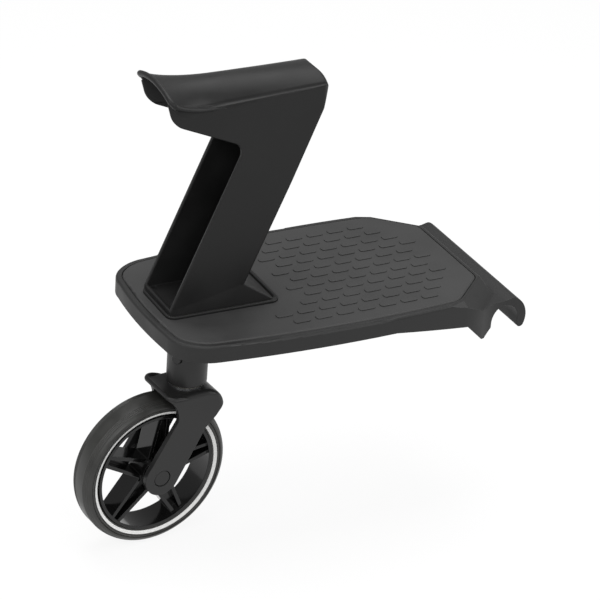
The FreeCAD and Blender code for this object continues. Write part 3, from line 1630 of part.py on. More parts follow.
def make_axle():
    bolt_end = recess_floor + S.bolt_head_thick
    bolt = turned("axle_bolt_body", [
        (0.0, -recess_floor - S.bolt_head_thick),
        (S.bolt_head_dia / 2 - S.bolt_bevel, -recess_floor - S.bolt_head_thick),
        (S.bolt_head_dia / 2, -recess_floor - S.bolt_head_thick + S.bolt_bevel),
        (S.bolt_head_dia / 2, -recess_floor),
        (axle_radius, -recess_floor),
        (axle_radius, bolt_end),
        (0.0, bolt_end),
    ], ON_AXLE)
    on_axle(bolt, "axle_bolt")
    nut = doc.addObject("PartDesign::Body", "axle_nut_body")
    sketch = sketch_on(nut, "XZ_Plane", "nut_outline")
    reach = S.nut_across / math.sqrt(3)
    draw_outline(sketch, [
        (reach * math.cos(math.radians(60 * k)), reach * math.sin(math.radians(60 * k))) for k in range(6)
    ])
    bore = sketch.addGeometry(Part.Circle(Vector(0, 0, 0), Vector(0, 0, 1), float(axle_radius)), False)
    sketch.addConstraint(Sketcher.Constraint("Coincident", bore, 3, -1, 1))
    row_of_bore = sketch.addConstraint(Sketcher.Constraint("Radius", bore, float(axle_radius)))
    sketch.setExpression(f"Constraints[{row_of_bore}]", axle_radius.text)
    pad = nut.newObject("PartDesign::Pad", "nut_pad")
    pad.Profile = sketch
    pad.setExpression("Length", S.bolt_head_thick.text)
    doc.recompute()
    pad.Reversed = nut.Shape.BoundBox.YMax < 1e-6
    doc.recompute()
    sway = sine(S.swivel_at_rest)
    keep(place(
        nut,
        wheel_x - recess_floor * sway,
        wheel_y + recess_floor * cosine(S.swivel_at_rest),
        wheel_z,
        S.swivel_at_rest,
    ), "axle_nut")
    sleeves = []
    for name, side in (("near_sleeve", -1), ("far_sleeve", 1)):
        low = (bearing_outer_face + S.swivel_gap) * side
        sleeve = ring(name, axle_radius, S.spacer_dia / 2, low, boss_face * side, ON_AXLE)
        sleeves.append(place(sleeve, wheel_x, wheel_y, wheel_z, S.swivel_at_rest))
    group("axle_spacers", sleeves)
    face = axle_y - S.cap_sink
    for label, side in (("near_axle_cap", -1), ("far_axle_cap", 1)):
        skirt = S.cap_dia / 2 - S.cap_wall
        bevel = S.cap_bevel
        cap = turned(label + "_body", [
            (0.0, face * side),
            (S.cap_dia / 2 - bevel, face * side),
            (S.cap_dia / 2, (face - bevel) * side),
            (S.cap_dia / 2, recess_floor * side),
            (skirt, recess_floor * side),
            (skirt, (face - S.cap_thick) * side),
            (0.0, (face - S.cap_thick) * side),
        ], ON_AXLE)
        on_axle(cap, label)


# Latch plate along the hook's jaw, drawn in the jaw face's own frame

def make_latch():
    frame = latch_frame()
    gap = float(S.latch_gap)
    thick = float(S.latch_thick)
    half = float(hook_half_width - S.latch_end_gap)
    low = -float(S.latch_step)
    high = latch_reach()
    outer = -gap - thick
    plate = Part.makeBox(high - low, 2 * half, thick, Vector(low, -half, outer))
    pull_half = float(S.latch_pull_width) / 2
    pull_drop = float(S.latch_pull_drop)
    pull = Part.makeBox(pull_drop + PAST, 2 * pull_half, thick, Vector(low - pull_drop, -pull_half, outer))
    corners = []
    for edge in pull.Edges:
        first, last = (vertex.Point for vertex in edge.Vertexes)
        if abs(first.z - last.z) > thick / 2 and first.x < low - pull_drop / 2:
            corners.append(edge)
    pull = pull.makeFillet(float(S.latch_pull_round), corners)
    plate = plate.fuse(pull)
    tab_width = float(S.latch_tab_width)
    tab_depth = float(S.latch_tab_depth)
    travel = float(S.latch_travel)
    shank = float(S.screw_dia) / 2
    slot_half = shank + float(S.latch_slot_gap)
    middle = float(jaw_face) / 2
    head_thick = float(S.latch_head_thick)
    head_low = outer - head_thick - float(S.latch_head_gap)
    springs = []
    screws = []
    for side in (-1, 1):
        y = side * float(S.latch_spring_offset)
        tab = Part.makeBox(
            float(S.latch_tab_thick),
            tab_width,
            tab_depth + gap + thick / 4,
            Vector(float(tab_low), y - tab_width / 2, -gap - thick / 4),
        )
        plate = plate.fuse(tab)
        start = Vector(float(pocket_low), y, tab_depth / 2)
        springs.append(spring_tube(S.latch_spring_dia, S.latch_spring_wire, tab_low - pocket_low, start))
        y = side * float(S.latch_screw_offset)
        through = thick + 2 * PAST
        slot = Part.makeBox(travel, 2 * slot_half, through, Vector(middle, y - slot_half, outer - PAST))
        for end in (middle, middle + travel):
            slot = slot.fuse(Part.makeCylinder(slot_half, through, Vector(end, y, outer - PAST)))
        plate = plate.cut(slot)
        head = Part.makeCylinder(float(S.screw_head_dia) / 2, head_thick, Vector(middle, y, head_low))
        length = tab_depth - float(S.screw_end_gap) - head_low
        stem = Part.makeCylinder(shank, length, Vector(middle, y, head_low))
        screws.append(head.fuse(stem).removeSplitter())
    keep(feature("latch_plate", plate.removeSplitter(), frame), "latch_plate")
    keep(feature("latch_springs", Part.makeCompound(springs), frame), "latch_springs")
    keep(feature("latch_screws", Part.makeCompound(screws), frame), "latch_screws")


make_deck_shell()
make_deck_mat()
make_underside_cover()
make_anchor_bars()
make_seat_shell()
make_screws()
make_stem_housing()
make_swivel()
make_release_button()
make_fork()
make_tyre()
make_stripe("near_stripe", -1)
make_stripe("far_stripe", 1)
make_rim()
make_bearings()
make_axle()
make_latch()
doc.recompute()

# Check every object before anything is written
faults = []
for obj in doc.Objects:
    if "Invalid" in obj.State or "Error" in obj.State:
        faults.append(f"{obj.Name} {obj.State}")
for obj in pieces:
    if obj.Shape.isNull() or not obj.Shape.isValid() or not obj.Shape.Solids:
        faults.append(f"{obj.Label} has no sound shape")
if faults:
    raise RuntimeError("; ".join(faults))

os.makedirs("parts", exist_ok=True)
for obj in pieces:
    obj.Shape.exportStep(f"parts/{obj.Label}.step")
    print(obj.Label, len(obj.Shape.Solids), round(obj.Shape.Volume, 1))
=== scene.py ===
import logging
import math
from dataclasses import dataclass, field
from enum import Enum

import bpy
import numpy as np
from mathutils import Matrix, Vector


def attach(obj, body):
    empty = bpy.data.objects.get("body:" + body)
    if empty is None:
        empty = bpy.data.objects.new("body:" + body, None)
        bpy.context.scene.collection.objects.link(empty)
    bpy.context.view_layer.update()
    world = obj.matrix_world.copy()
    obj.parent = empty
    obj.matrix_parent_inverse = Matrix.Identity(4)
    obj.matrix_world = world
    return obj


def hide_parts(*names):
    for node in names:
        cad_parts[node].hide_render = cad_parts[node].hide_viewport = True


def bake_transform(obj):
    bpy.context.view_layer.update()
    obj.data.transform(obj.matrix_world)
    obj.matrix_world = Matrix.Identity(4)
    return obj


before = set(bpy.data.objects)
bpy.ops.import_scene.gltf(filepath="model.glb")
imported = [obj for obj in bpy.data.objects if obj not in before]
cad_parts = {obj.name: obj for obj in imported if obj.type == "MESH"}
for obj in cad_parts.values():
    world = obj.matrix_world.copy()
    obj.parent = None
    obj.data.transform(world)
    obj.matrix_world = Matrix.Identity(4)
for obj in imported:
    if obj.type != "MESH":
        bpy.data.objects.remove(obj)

# Looks of a ride-on stroller board: moulded deck and saddle seat, rubber mat, one caster wheel.
# Sizes are in millimetres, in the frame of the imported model, and become metres in the meshes.
LOG = logging.getLogger("buggy_board")
MM = 0.001
QUARTER_TURN = math.pi / 2
FULL_TURN = 2 * math.pi
UP = np.array([0.0, 0.0, 1.0])
# Signs of x and y at the four corners of an outline, the way round that its points run.
CORNER_SIGNS = np.array([(1.0, 1.0), (-1.0, 1.0), (-1.0, -1.0), (1.0, -1.0)])
# Height of the mat's flat top, and how far the caster is turned at rest.
MAT_TOP = 35.7
REST_SWIVEL_DEG = 5.4
WHITE = "#ffffff"
# Places of the colour sockets on Blender's Mix node, which has sockets of the same names for each data type.
MIX_SHARE, MIX_FIRST, MIX_SECOND, MIX_RESULT = 0, 6, 7, 2

Point = tuple[float, float, float]
Faces = list[list[int]]


class Body(Enum):
    """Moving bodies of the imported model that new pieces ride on."""

    DECK = "deck"
    CASTER = "caster"
    WHEEL = "wheel"
    RELEASE = "release"
    LATCH = "latch"


class Slot(Enum):
    """Material slots of the record, by name."""

    MAT = "deck_mat"
    SEAT = "seat_shell"
    FORK = "fork"
    TYRE = "tyre"
    SPRINGS = "springs"


def linear(code: str) -> tuple[float, float, float, float]:
    """Turn an sRGB hex code into linear light, by the standard's straight toe and its power of 2.4.

    Args:
        code: six hex digits after a hash sign.

    Returns:
        Red, green, blue and an alpha of one.
    """
    shares = [int(code[place:place + 2], 16) / 255 for place in (1, 3, 5)]
    light = [s / 12.92 if s <= 0.04045 else ((s + 0.055) / 1.055) ** 2.4 for s in shares]
    return light[0], light[1], light[2], 1.0


def empty_tree(owner: bpy.types.Material | bpy.types.World) -> bpy.types.NodeTree:
    """Turn a material or a world to nodes, and clear away those that Blender puts there.

    Args:
        owner: material or world to prepare.

    Returns:
        Its empty node tree.
    """
    owner.use_nodes = True
    owner.node_tree.nodes.clear()
    return owner.node_tree


def add_node(tree: bpy.types.NodeTree, kind: str, inputs: dict | None = None,
             **settings: object) -> bpy.types.Node:
    """Add one node with its settings, and give its inputs their values or links.

    Args:
        tree: node tree that takes the node.
        kind: Blender's name of the node type.
        inputs: input name, or its place where names repeat, to a value or to the socket that feeds it.
        settings: properties of the node.

    Returns:
        The new node.
    """
    made = tree.nodes.new(kind)
    for name, value in settings.items():
        setattr(made, name, value)
    for key, value in (inputs or {}).items():
        if isinstance(value, bpy.types.NodeSocket):
            tree.links.new(value, made.inputs[key])
        else:
            made.inputs[key].default_value = value
    return made


def per_metre(size_mm: float) -> float:
    """Texture scale whose features are about as large as a size."""
    return 1.0 / (size_mm * MM)


@dataclass(frozen=True)
class Moulding:
    """Moulded plastic or rubber: a fine tool grain, faint clouds of colour and sheen, and painted light on soft
    edges.

    A cloud fades in between the two noise levels of cloud_levels. An edge takes painted_edge_colour, a painted
    highlight where it is paler than the body and painted shade where it is darker, where the rounded surface
    turns away from the true one, between the two cosines of painted_edge_cosines.
    """

    name: str
    colour: str
    cloud_colour: str
    # Colour painted on rounded edges: a painted highlight where it is paler than colour, painted shade where it
    # is darker.
    painted_edge_colour: str
    roughness: float
    specular: float
    grain_mm: float
    grain_depth_mm: float
    edge_mm: float
    cloud_mm: float = 38.0
    sheen_spread: float = 0.06
    painted_edge_share: float = 0.5
    grain_detail: float = 3.0
    grain_roughness: float = 0.6
    cloud_levels: tuple[float, float] = (0.35, 0.65)
    painted_edge_cosines: tuple[float, float] = (0.98, 0.80)
    edge_samples: int = 8

    def material(self) -> bpy.types.Material:
        """Build the node material.

        Returns:
            Material named after the real one.
        """
        made = bpy.data.materials.new(self.name)
        tree = empty_tree(made)
        place = add_node(tree, "ShaderNodeTexCoord").outputs["Object"]
        grain = add_node(tree, "ShaderNodeTexNoise", {
            "Vector": place,
            "Scale": per_metre(self.grain_mm),
            "Detail": self.grain_detail,
            "Roughness": self.grain_roughness,
        }).outputs["Fac"]
        cloud = add_node(tree, "ShaderNodeTexNoise", {
            "Vector": place, "Scale": per_metre(self.cloud_mm),
        }).outputs["Fac"]
        patch = add_node(tree, "ShaderNodeMapRange", {
            "Value": cloud, "From Min": self.cloud_levels[0], "From Max": self.cloud_levels[1],
        }).outputs["Result"]
        rounded = add_node(
            tree, "ShaderNodeBevel", {"Radius": self.edge_mm * MM}, samples=self.edge_samples,
        ).outputs["Normal"]
        true_normal = add_node(tree, "ShaderNodeNewGeometry").outputs["Normal"]
        turn = add_node(
            tree, "ShaderNodeVectorMath", {0: rounded, 1: true_normal}, operation="DOT_PRODUCT",
        ).outputs["Value"]
        # Mask of the colour painted on the edges: a painted highlight on most finishes, painted shade on the
        # axle caps.
        edge = add_node(tree, "ShaderNodeMapRange", {
            "Value": turn,
            "From Min": self.painted_edge_cosines[0],
            "From Max": self.painted_edge_cosines[1],
            "To Max": self.painted_edge_share,
        }).outputs["Result"]
        cloudy = add_node(tree, "ShaderNodeMix", {
            MIX_SHARE: patch, MIX_FIRST: linear(self.colour), MIX_SECOND: linear(self.cloud_colour),
        }, data_type="RGBA").outputs[MIX_RESULT]
        base = add_node(tree, "ShaderNodeMix", {
            MIX_SHARE: edge, MIX_FIRST: cloudy, MIX_SECOND: linear(self.painted_edge_colour),
        }, data_type="RGBA").outputs[MIX_RESULT]
        sheen = add_node(tree, "ShaderNodeMapRange", {
            "Value": patch,
            "To Min": self.roughness - self.sheen_spread,
            "To Max": self.roughness + self.sheen_spread,
        }).outputs["Result"]
        bump = add_node(tree, "ShaderNodeBump", {
            "Strength": 1.0, "Distance": self.grain_depth_mm * MM, "Height": grain, "Normal": rounded,
        }).outputs["Normal"]
        shader = add_node(tree, "ShaderNodeBsdfPrincipled", {
            "Base Color": base, "Roughness": sheen, "Normal": bump, "Specular IOR Level": self.specular,
        })
        add_node(tree, "ShaderNodeOutputMaterial", {"Surface": shader.outputs["BSDF"]})
        return made


@dataclass(frozen=True)
class PlatedSteel:
    """Zinc-plated or bright steel: a metal with a drawn grain and dull patches.

    The grain is finer along z by the factor fine_along. Its noise levels in grain_levels take the roughness
    from smoother than the stated one to duller.
    """

    name: str
    colour: str
    dull_colour: str
    roughness: float
    grain_mm: float
    fine_along: float = 6.0
    grain_detail: float = 4.0
    grain_levels: tuple[float, float] = (0.3, 0.7)
    smoother: float = 0.06
    duller: float = 0.08
    grain_strength: float = 0.6
    grain_depth_mm: float = 0.01

    def material(self) -> bpy.types.Material:
        """Build the node material.

        Returns:
            Material named after the real one.
        """
        made = bpy.data.materials.new(self.name)
        tree = empty_tree(made)
        place = add_node(tree, "ShaderNodeTexCoord").outputs["Object"]
        drawn = add_node(tree, "ShaderNodeMapping", {
            "Vector": place, "Scale": (1.0, 1.0, self.fine_along),
        }).outputs["Vector"]
        grain = add_node(tree, "ShaderNodeTexNoise", {
            "Vector": drawn, "Scale": per_metre(self.grain_mm), "Detail": self.grain_detail,
        }).outputs["Fac"]
        base = add_node(tree, "ShaderNodeMix", {
            MIX_SHARE: grain, MIX_FIRST: linear(self.colour), MIX_SECOND: linear(self.dull_colour),
        }, data_type="RGBA").outputs[MIX_RESULT]
        sheen = add_node(tree, "ShaderNodeMapRange", {
            "Value": grain,
            "From Min": self.grain_levels[0],
            "From Max": self.grain_levels[1],
            "To Min": self.roughness - self.smoother,
            "To Max": self.roughness + self.duller,
        }).outputs["Result"]
        bump = add_node(tree, "ShaderNodeBump", {
            "Strength": self.grain_strength, "Distance": self.grain_depth_mm * MM, "Height": grain,
        }).outputs["Normal"]
        shader = add_node(tree, "ShaderNodeBsdfPrincipled", {
            "Base Color": base, "Roughness": sheen, "Normal": bump, "Metallic": 1.0,
        })
        add_node(tree, "ShaderNodeOutputMaterial", {"Surface": shader.outputs["BSDF"]})
        return made


Finish = Moulding | PlatedSteel

# In each finish below, painted_edge_colour is a painted highlight on the rounded edges; on the axle caps it is
# painted shade.
# Glass-filled polypropylene, moulded in a sparked tool: satin black that goes grey under a high light.
# Its real grain of about 0.3 mm is too fine to show, so the grains here are drawn 0.9 mm wide.
DECK_PLASTIC = Moulding(
    "moulded_polypropylene_deck", colour="#202020", cloud_colour="#252525", painted_edge_colour="#2c2c2c",
    roughness=0.52, specular=0.35, grain_mm=0.9, grain_depth_mm=0.012, edge_mm=1.0, painted_edge_share=0.3,
)
# The seat's moulding has the same grain on a blacker, slightly smoother skin, and broad soft edges.
SEAT_PLASTIC = Moulding(
    "moulded_polypropylene_seat", colour="#181818", cloud_colour="#1d1d1d", painted_edge_colour="#292929",
    roughness=0.47, specular=0.27, grain_mm=0.9, grain_depth_mm=0.012, edge_mm=2.4, painted_edge_share=0.25,
)
# Thermoplastic rubber: duller than the deck round it, and a shade lighter.
MAT_RUBBER = Moulding(
    "moulded_rubber_mat", colour="#2e2e2e", cloud_colour="#343434", painted_edge_colour="#383838",
    roughness=0.62, specular=0.42, grain_mm=0.8, grain_depth_mm=0.016, edge_mm=0.5,
)
# Walls of the mat's pads: the rough sides of the mould, painted dark as shade so that they read as thin dark
# lines.
PAD_WALL_PAINTED_SHADE = Moulding(
    "pad_wall_painted_shade", colour="#191919", cloud_colour="#1f1f1f", painted_edge_colour="#1f1f1f",
    roughness=0.85, specular=0.12, grain_mm=0.8, grain_depth_mm=0.016, edge_mm=0.1,
)
# Foam rubber tyre: a faintly warm black with a soft sheen, mottled by its skin, with a painted highlight on its
# mould lines.
TYRE_RUBBER = Moulding(
    "foamed_rubber_tyre", colour="#232321", cloud_colour="#2d2d2b", painted_edge_colour="#4a4a46",
    roughness=0.42, specular=0.55, grain_mm=1.1, grain_depth_mm=0.02, edge_mm=0.3, cloud_mm=16.0,
)
# Glass-filled nylon of the fork, stem and button: as black as the deck, and smoother.
FORK_NYLON = Moulding(
    "moulded_nylon_fork", colour="#202020", cloud_colour="#242424", painted_edge_colour="#303030",
    roughness=0.44, specular=0.40, grain_mm=0.8, grain_depth_mm=0.008, edge_mm=0.8,
)
# Caps over the axle's ends: the fork's nylon, with near-black painted shade of the narrow gap round each of them
# laid on their edges.
CAP_NYLON = Moulding(
    "moulded_nylon_cap", colour="#202020", cloud_colour="#242424", painted_edge_colour="#060606",
    roughness=0.44, specular=0.38, grain_mm=0.8, grain_depth_mm=0.008, edge_mm=1.6, painted_edge_share=1.0,
)
# Latch plate: the same nylon, a shade darker.
LATCH_NYLON = Moulding(
    "moulded_nylon_latch", colour="#1c1c1c", cloud_colour="#202020", painted_edge_colour="#2c2c2c",
    roughness=0.45, specular=0.40, grain_mm=0.8, grain_depth_mm=0.008, edge_mm=0.5,
)
# Polished ABS of the rim: a hard black gloss that mirrors the light in its ribs.
RIM_GLOSS = Moulding(
    "polished_abs_rim", colour="#0e0e0e", cloud_colour="#101010", painted_edge_colour="#161616",
    roughness=0.15, specular=0.38, grain_mm=2.4, grain_depth_mm=0.006, edge_mm=0.8, sheen_spread=0.03,
)
# Retro-reflective film on the tyre: pale, with the fine mottle of its glass beads drawn 1.6 mm wide.
STRIPE_FILM = Moulding(
    "reflective_film_stripe", colour="#ececea", cloud_colour="#fbfbfa", painted_edge_colour="#fafafa",
    roughness=0.34, specular=0.50, grain_mm=0.6, grain_depth_mm=0.01, edge_mm=0.3, cloud_mm=1.6,
)
# Acetal plain bearings, an off-white that shows only where the swivel is taken apart.
BUSH_ACETAL = Moulding(
    "turned_acetal_bush", colour="#c9c4b6", cloud_colour="#cfcabd", painted_edge_colour="#d6d2c6",
    roughness=0.40, specular=0.50, grain_mm=0.6, grain_depth_mm=0.008, edge_mm=0.3,
)
# Zinc plate: a pale, faintly blue grey metal with dull patches. The screws are darker and duller.
ZINC_STEEL = PlatedSteel(
    "zinc_plated_steel", colour="#c9cacc", dull_colour="#a9abad", roughness=0.28, grain_mm=3.0,
)
SCREW_STEEL = PlatedSteel(
    "zinc_plated_screw", colour="#a6a7a9", dull_colour="#87888a", roughness=0.34, grain_mm=2.0,
)
# Bare spring wire: bright grey, with the fine streaks of its drawing.
SPRING_STEEL = PlatedSteel(
    "drawn_spring_wire", colour="#b9babc", dull_colour="#9a9b9d", roughness=0.30, grain_mm=1.5,
)

FINISHED_NODES: dict[Finish, tuple[str, ...]] = {
    DECK_PLASTIC: ("deck_shell", "underside_cover"),
    MAT_RUBBER: ("deck_mat",),
    SEAT_PLASTIC: ("seat_shell",),
    FORK_NYLON: ("stem_housing", "wheel_release_button", "caster_fork"),
    CAP_NYLON: ("near_axle_cap", "far_axle_cap"),
    RIM_GLOSS: ("wheel_rim",),
    TYRE_RUBBER: ("tyre",),
    STRIPE_FILM: ("near_stripe", "far_stripe"),
    LATCH_NYLON: ("latch_plate",),
    BUSH_ACETAL: ("upper_swivel_bush", "lower_swivel_bush"),
    ZINC_STEEL: (
        "kingpin", "thrust_washer", "axle_bolt", "axle_nut", "axle_spacers", "bearing_spacer",
        "near_wheel_bearing", "far_wheel_bearing", "seat_anchor_bars",
    ),
    SCREW_STEEL: ("seat_screws", "stem_screws", "cover_screws", "latch_screws"),
    SPRING_STEEL: ("release_spring", "latch_springs"),
}


@dataclass
class Paintbox:
    """Every finish in use, each built once."""

    built: dict[str, bpy.types.Material] = field(default_factory=dict)

    def get(self, finish: Finish) -> bpy.types.Material:
        """Give a finish's material, building it on first use.

        Args:
            finish: finish to look up.

        Returns:
            Its material.
        """
        if finish.name not in self.built:
            self.built[finish.name] = finish.material()
        return self.built[finish.name]

    def dress_nodes(self) -> list[bpy.types.Object]:
        """Give every CAD node its finish.

        Returns:
            The nodes' objects.
        """
        dressed = []
        for finish, names in FINISHED_NODES.items():
            for name in names:
                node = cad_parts[name]
                node.data.materials.clear()
                node.data.materials.append(self.get(finish))
                dressed.append(node)
        return dressed


def ring_faces(rings: int, sides: int, loop: bool) -> np.ndarray:
    """Corner numbers of the four-sided faces between rings of points, each of which closes on itself.

    Args:
        rings: number of rings.
        sides: points on a ring.
        loop: whether the last ring joins the first.

    Returns:
        Array of four point numbers for each face.
    """
    ring = np.arange(rings if loop else rings - 1)[:, None]
    side = np.arange(sides)[None, :]
    start, next_start = ring * sides, (ring + 1) % rings * sides
    next_side = (side + 1) % sides
    corners = (start + side, start + next_side, next_start + next_side, next_start + side)
    return np.stack(np.broadcast_arrays(*corners), -1).reshape(-1, 4)


def rod_faces(rings: int, sides: int) -> Faces:
    """Faces of a rod: four-sided ones between its rings, and one flat cap at each end.

    Args:
        rings: number of rings.
        sides: points on a ring.

    Returns:
        Point numbers of each face.
    """
    first = np.arange(sides)
    last = first + (rings - 1) * sides
    return ring_faces(rings, sides, loop=False).tolist() + [first[::-1].tolist(), last.tolist()]


def corner_headings(steps: int) -> np.ndarray:
    """Outward headings along an outline's four quarter-circle corners, one corner after the other.

    Args:
        steps: points on each corner.

    Returns:
        One row of x and y for each point.
    """
    quarter = np.linspace(0.0, QUARTER_TURN, steps)
    turn = (np.arange(len(CORNER_SIGNS))[:, None] * QUARTER_TURN + quarter[None, :]).ravel()
    return np.stack([np.cos(turn), np.sin(turn)], -1)


def make_loose(name: str, points_mm: np.ndarray, faces: Faces, material: bpy.types.Material) -> bpy.types.Object:
    """Put points and faces into a smooth mesh object that no body carries yet.

    Args:
        name: name of the piece.
        points_mm: one row of x, y and z for each point, in millimetres.
        faces: point numbers of each face.
        material: finish of the piece.

    Returns:
        The new object.
    """
    mesh = bpy.data.meshes.new(name)
    mesh.from_pydata((points_mm * MM).tolist(), [], faces, shade_flat=False)
    mesh.update()
    mesh.materials.append(material)
    piece = bpy.data.objects.new(name, mesh)
    bpy.context.scene.collection.objects.link(piece)
    return piece


def make_piece(name: str, points_mm: np.ndarray, faces: Faces, body: Body, material: bpy.types.Material) -> bpy.types.Object:
    """Put points and faces into a smooth mesh object that rides on a body.

    Args:
        name: name of the piece.
        points_mm: one row of x, y and z for each point, in millimetres.
        faces: point numbers of each face.
        body: body that the piece moves with.
        material: finish of the piece.

    Returns:
        The new object.
    """
    piece = make_loose(name, points_mm, faces, material)
    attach(piece, body.value)
    return piece


def sweep_circle(path: np.ndarray, radius: np.ndarray, sides: int) -> tuple[np.ndarray, Faces]:
    """Carry an upright circle along a line, square to the line at every point, and close both ends.

    Args:
        path: one row of x, y and z for each point of the line.
        radius: radius of the circle at each point.
        sides: points on the circle.

    Returns:
        The points and the faces of the rod.
    """
    ahead = np.gradient(path, axis=0)
    ahead = ahead / np.linalg.norm(ahead, axis=1, keepdims=True)
    out = np.cross(ahead, UP)
    out = out / np.linalg.norm(out, axis=1, keepdims=True)
    over = np.cross(ahead, out)
    turn = np.linspace(0.0, FULL_TURN, sides, endpoint=False)[None, :, None]
    ring = np.cos(turn) * out[:, None, :] + np.sin(turn) * over[:, None, :]
    points = path[:, None, :] + ring * radius[:, None, None]
    return points.reshape(-1, 3), rod_faces(len(path), sides)


def taper(path: np.ndarray, radius: float, run_out: float, least: float = 1e-4) -> np.ndarray:
    """Radii along a line that run out to nothing at both ends, by the square root of the way left.

    Args:
        path: one row of x, y and z for each point of the line.
        radius: full radius.
        run_out: length over which each end runs out.
        least: share of the way that is left at the very end, so that the last circle isn't a point.

    Returns:
        One radius for each point.
    """
    run = np.concatenate([[0.0], np.cumsum(np.linalg.norm(np.diff(path, axis=0), axis=1))])
    return radius * np.sqrt(np.clip(np.minimum(run, run[-1] - run) / run_out, least, 1.0))


@dataclass
class DeckMat:
    """Rubber mat's rows of low raised pads, each row set about half a pitch from the next."""

    top: float = MAT_TOP
    rise: float = 0.7
    sink: float = 0.3
    crown: float = 0.2
    length: float = 16.2
    width: float = 6.8
    corner: float = 2.5
    corner_steps: int = 4
    pitch_along: float = 22.1
    pitch_across: float = 14.45
    row_half_count: int = 5
    column_count: int = 9
    even_front: float = -37.6
    odd_front: float = -49.0
    rear: float = -225.0
    foot_front: float = -206.0
    foot_half: float = 46.0
    shoulder_front: float = -17.8
    shoulder_half: float = 54.5
    shoulder_deg: float = 42.0
    margin: float = 9.0

    def places(self) -> np.ndarray:
        """Middles of the pads, clear of the seat's foot and of the mat's slanting front shoulders.

        Returns:
            One row of x and y for each pad.
        """
        rows = np.arange(-self.row_half_count, self.row_half_count + 1)
        columns = np.arange(self.column_count)
        across, along = np.meshgrid(rows, columns, indexing="ij")
        front = np.where(across % 2 == 0, self.even_front, self.odd_front)
        x = front - self.length / 2 - along * self.pitch_along
        y = across * self.pitch_across
        lean = math.radians(self.shoulder_deg)
        nose = x + self.length / 2 - self.shoulder_front
        flank = np.abs(y) + self.width / 2 - self.shoulder_half
        outward = nose * math.sin(lean) + flank * math.cos(lean)
        before_foot = x - self.length / 2 > self.foot_front
        beside_foot = np.abs(y) - self.width / 2 > self.foot_half
        keep = (outward < -self.margin) & (before_foot | beside_foot) & (x > self.rear)
        return np.stack([x[keep], y[keep]], -1)

    def outline(self, inset: float) -> np.ndarray:
        """One pad seen from above: four quarter circles joined by straight sides.

        Args:
            inset: how far the outline is drawn in.

        Returns:
            One row of x and y for each point, about the pad's middle.
        """
        reach = np.array([self.length, self.width]) / 2 - self.corner
        middles = (CORNER_SIGNS * reach).repeat(self.corner_steps, axis=0)
        return middles + (self.corner - inset) * corner_headings(self.corner_steps)

    def build(self, paints: Paintbox) -> list[bpy.types.Object]:
        """Make all pads as one mesh: rings at the foot, the shoulder and the crown, closed above and below.

        The upright wall between the foot and the shoulder has a finish of its own, painted dark as shade.

        Args:
            paints: finishes of the board.

        Returns:
            The one new piece.
        """
        insets = (0.0, 0.0, self.crown)
        heights = (-self.sink, self.rise - self.crown, self.rise)
        rings = [
            np.concatenate([ring, np.full((len(ring), 1), self.top + height)], -1)
            for ring, height in zip(map(self.outline, insets), heights)
        ]
        shape = np.concatenate(rings)
        middles = self.places()
        offset = np.concatenate([middles, np.zeros((len(middles), 1))], -1)
        points = (offset[:, None, :] + shape[None, :, :]).reshape(-1, 3)
        count = len(rings[0])
        foot_ring = np.arange(count)
        crown_ring = foot_ring + len(shape) - count
        sides = ring_faces(len(rings), count, loop=False)
        first = np.arange(len(middles)) * len(shape)
        side_faces = (sides[None] + first[:, None, None]).reshape(-1, 4).tolist()
        top_faces = (crown_ring[None] + first[:, None]).tolist()
        under_faces = (foot_ring[None, ::-1] + first[:, None]).tolist()
        faces = side_faces + top_faces + under_faces
        piece = make_piece("mat_pads", points, faces, Body.DECK, paints.get(MAT_RUBBER))
        piece.data.shade_flat()
        # The pad walls take the second finish, a dark colour painted as shade.
        piece.data.materials.append(paints.get(PAD_WALL_PAINTED_SHADE))
        walls = np.zeros((len(middles), len(sides)), dtype=np.int32)
        walls[:, :count] = len(piece.data.materials) - 1
        flats = np.zeros(len(top_faces) + len(under_faces), dtype=np.int32)
        piece.data.polygons.foreach_set("material_index", np.concatenate([walls.ravel(), flats]))
        return [piece]


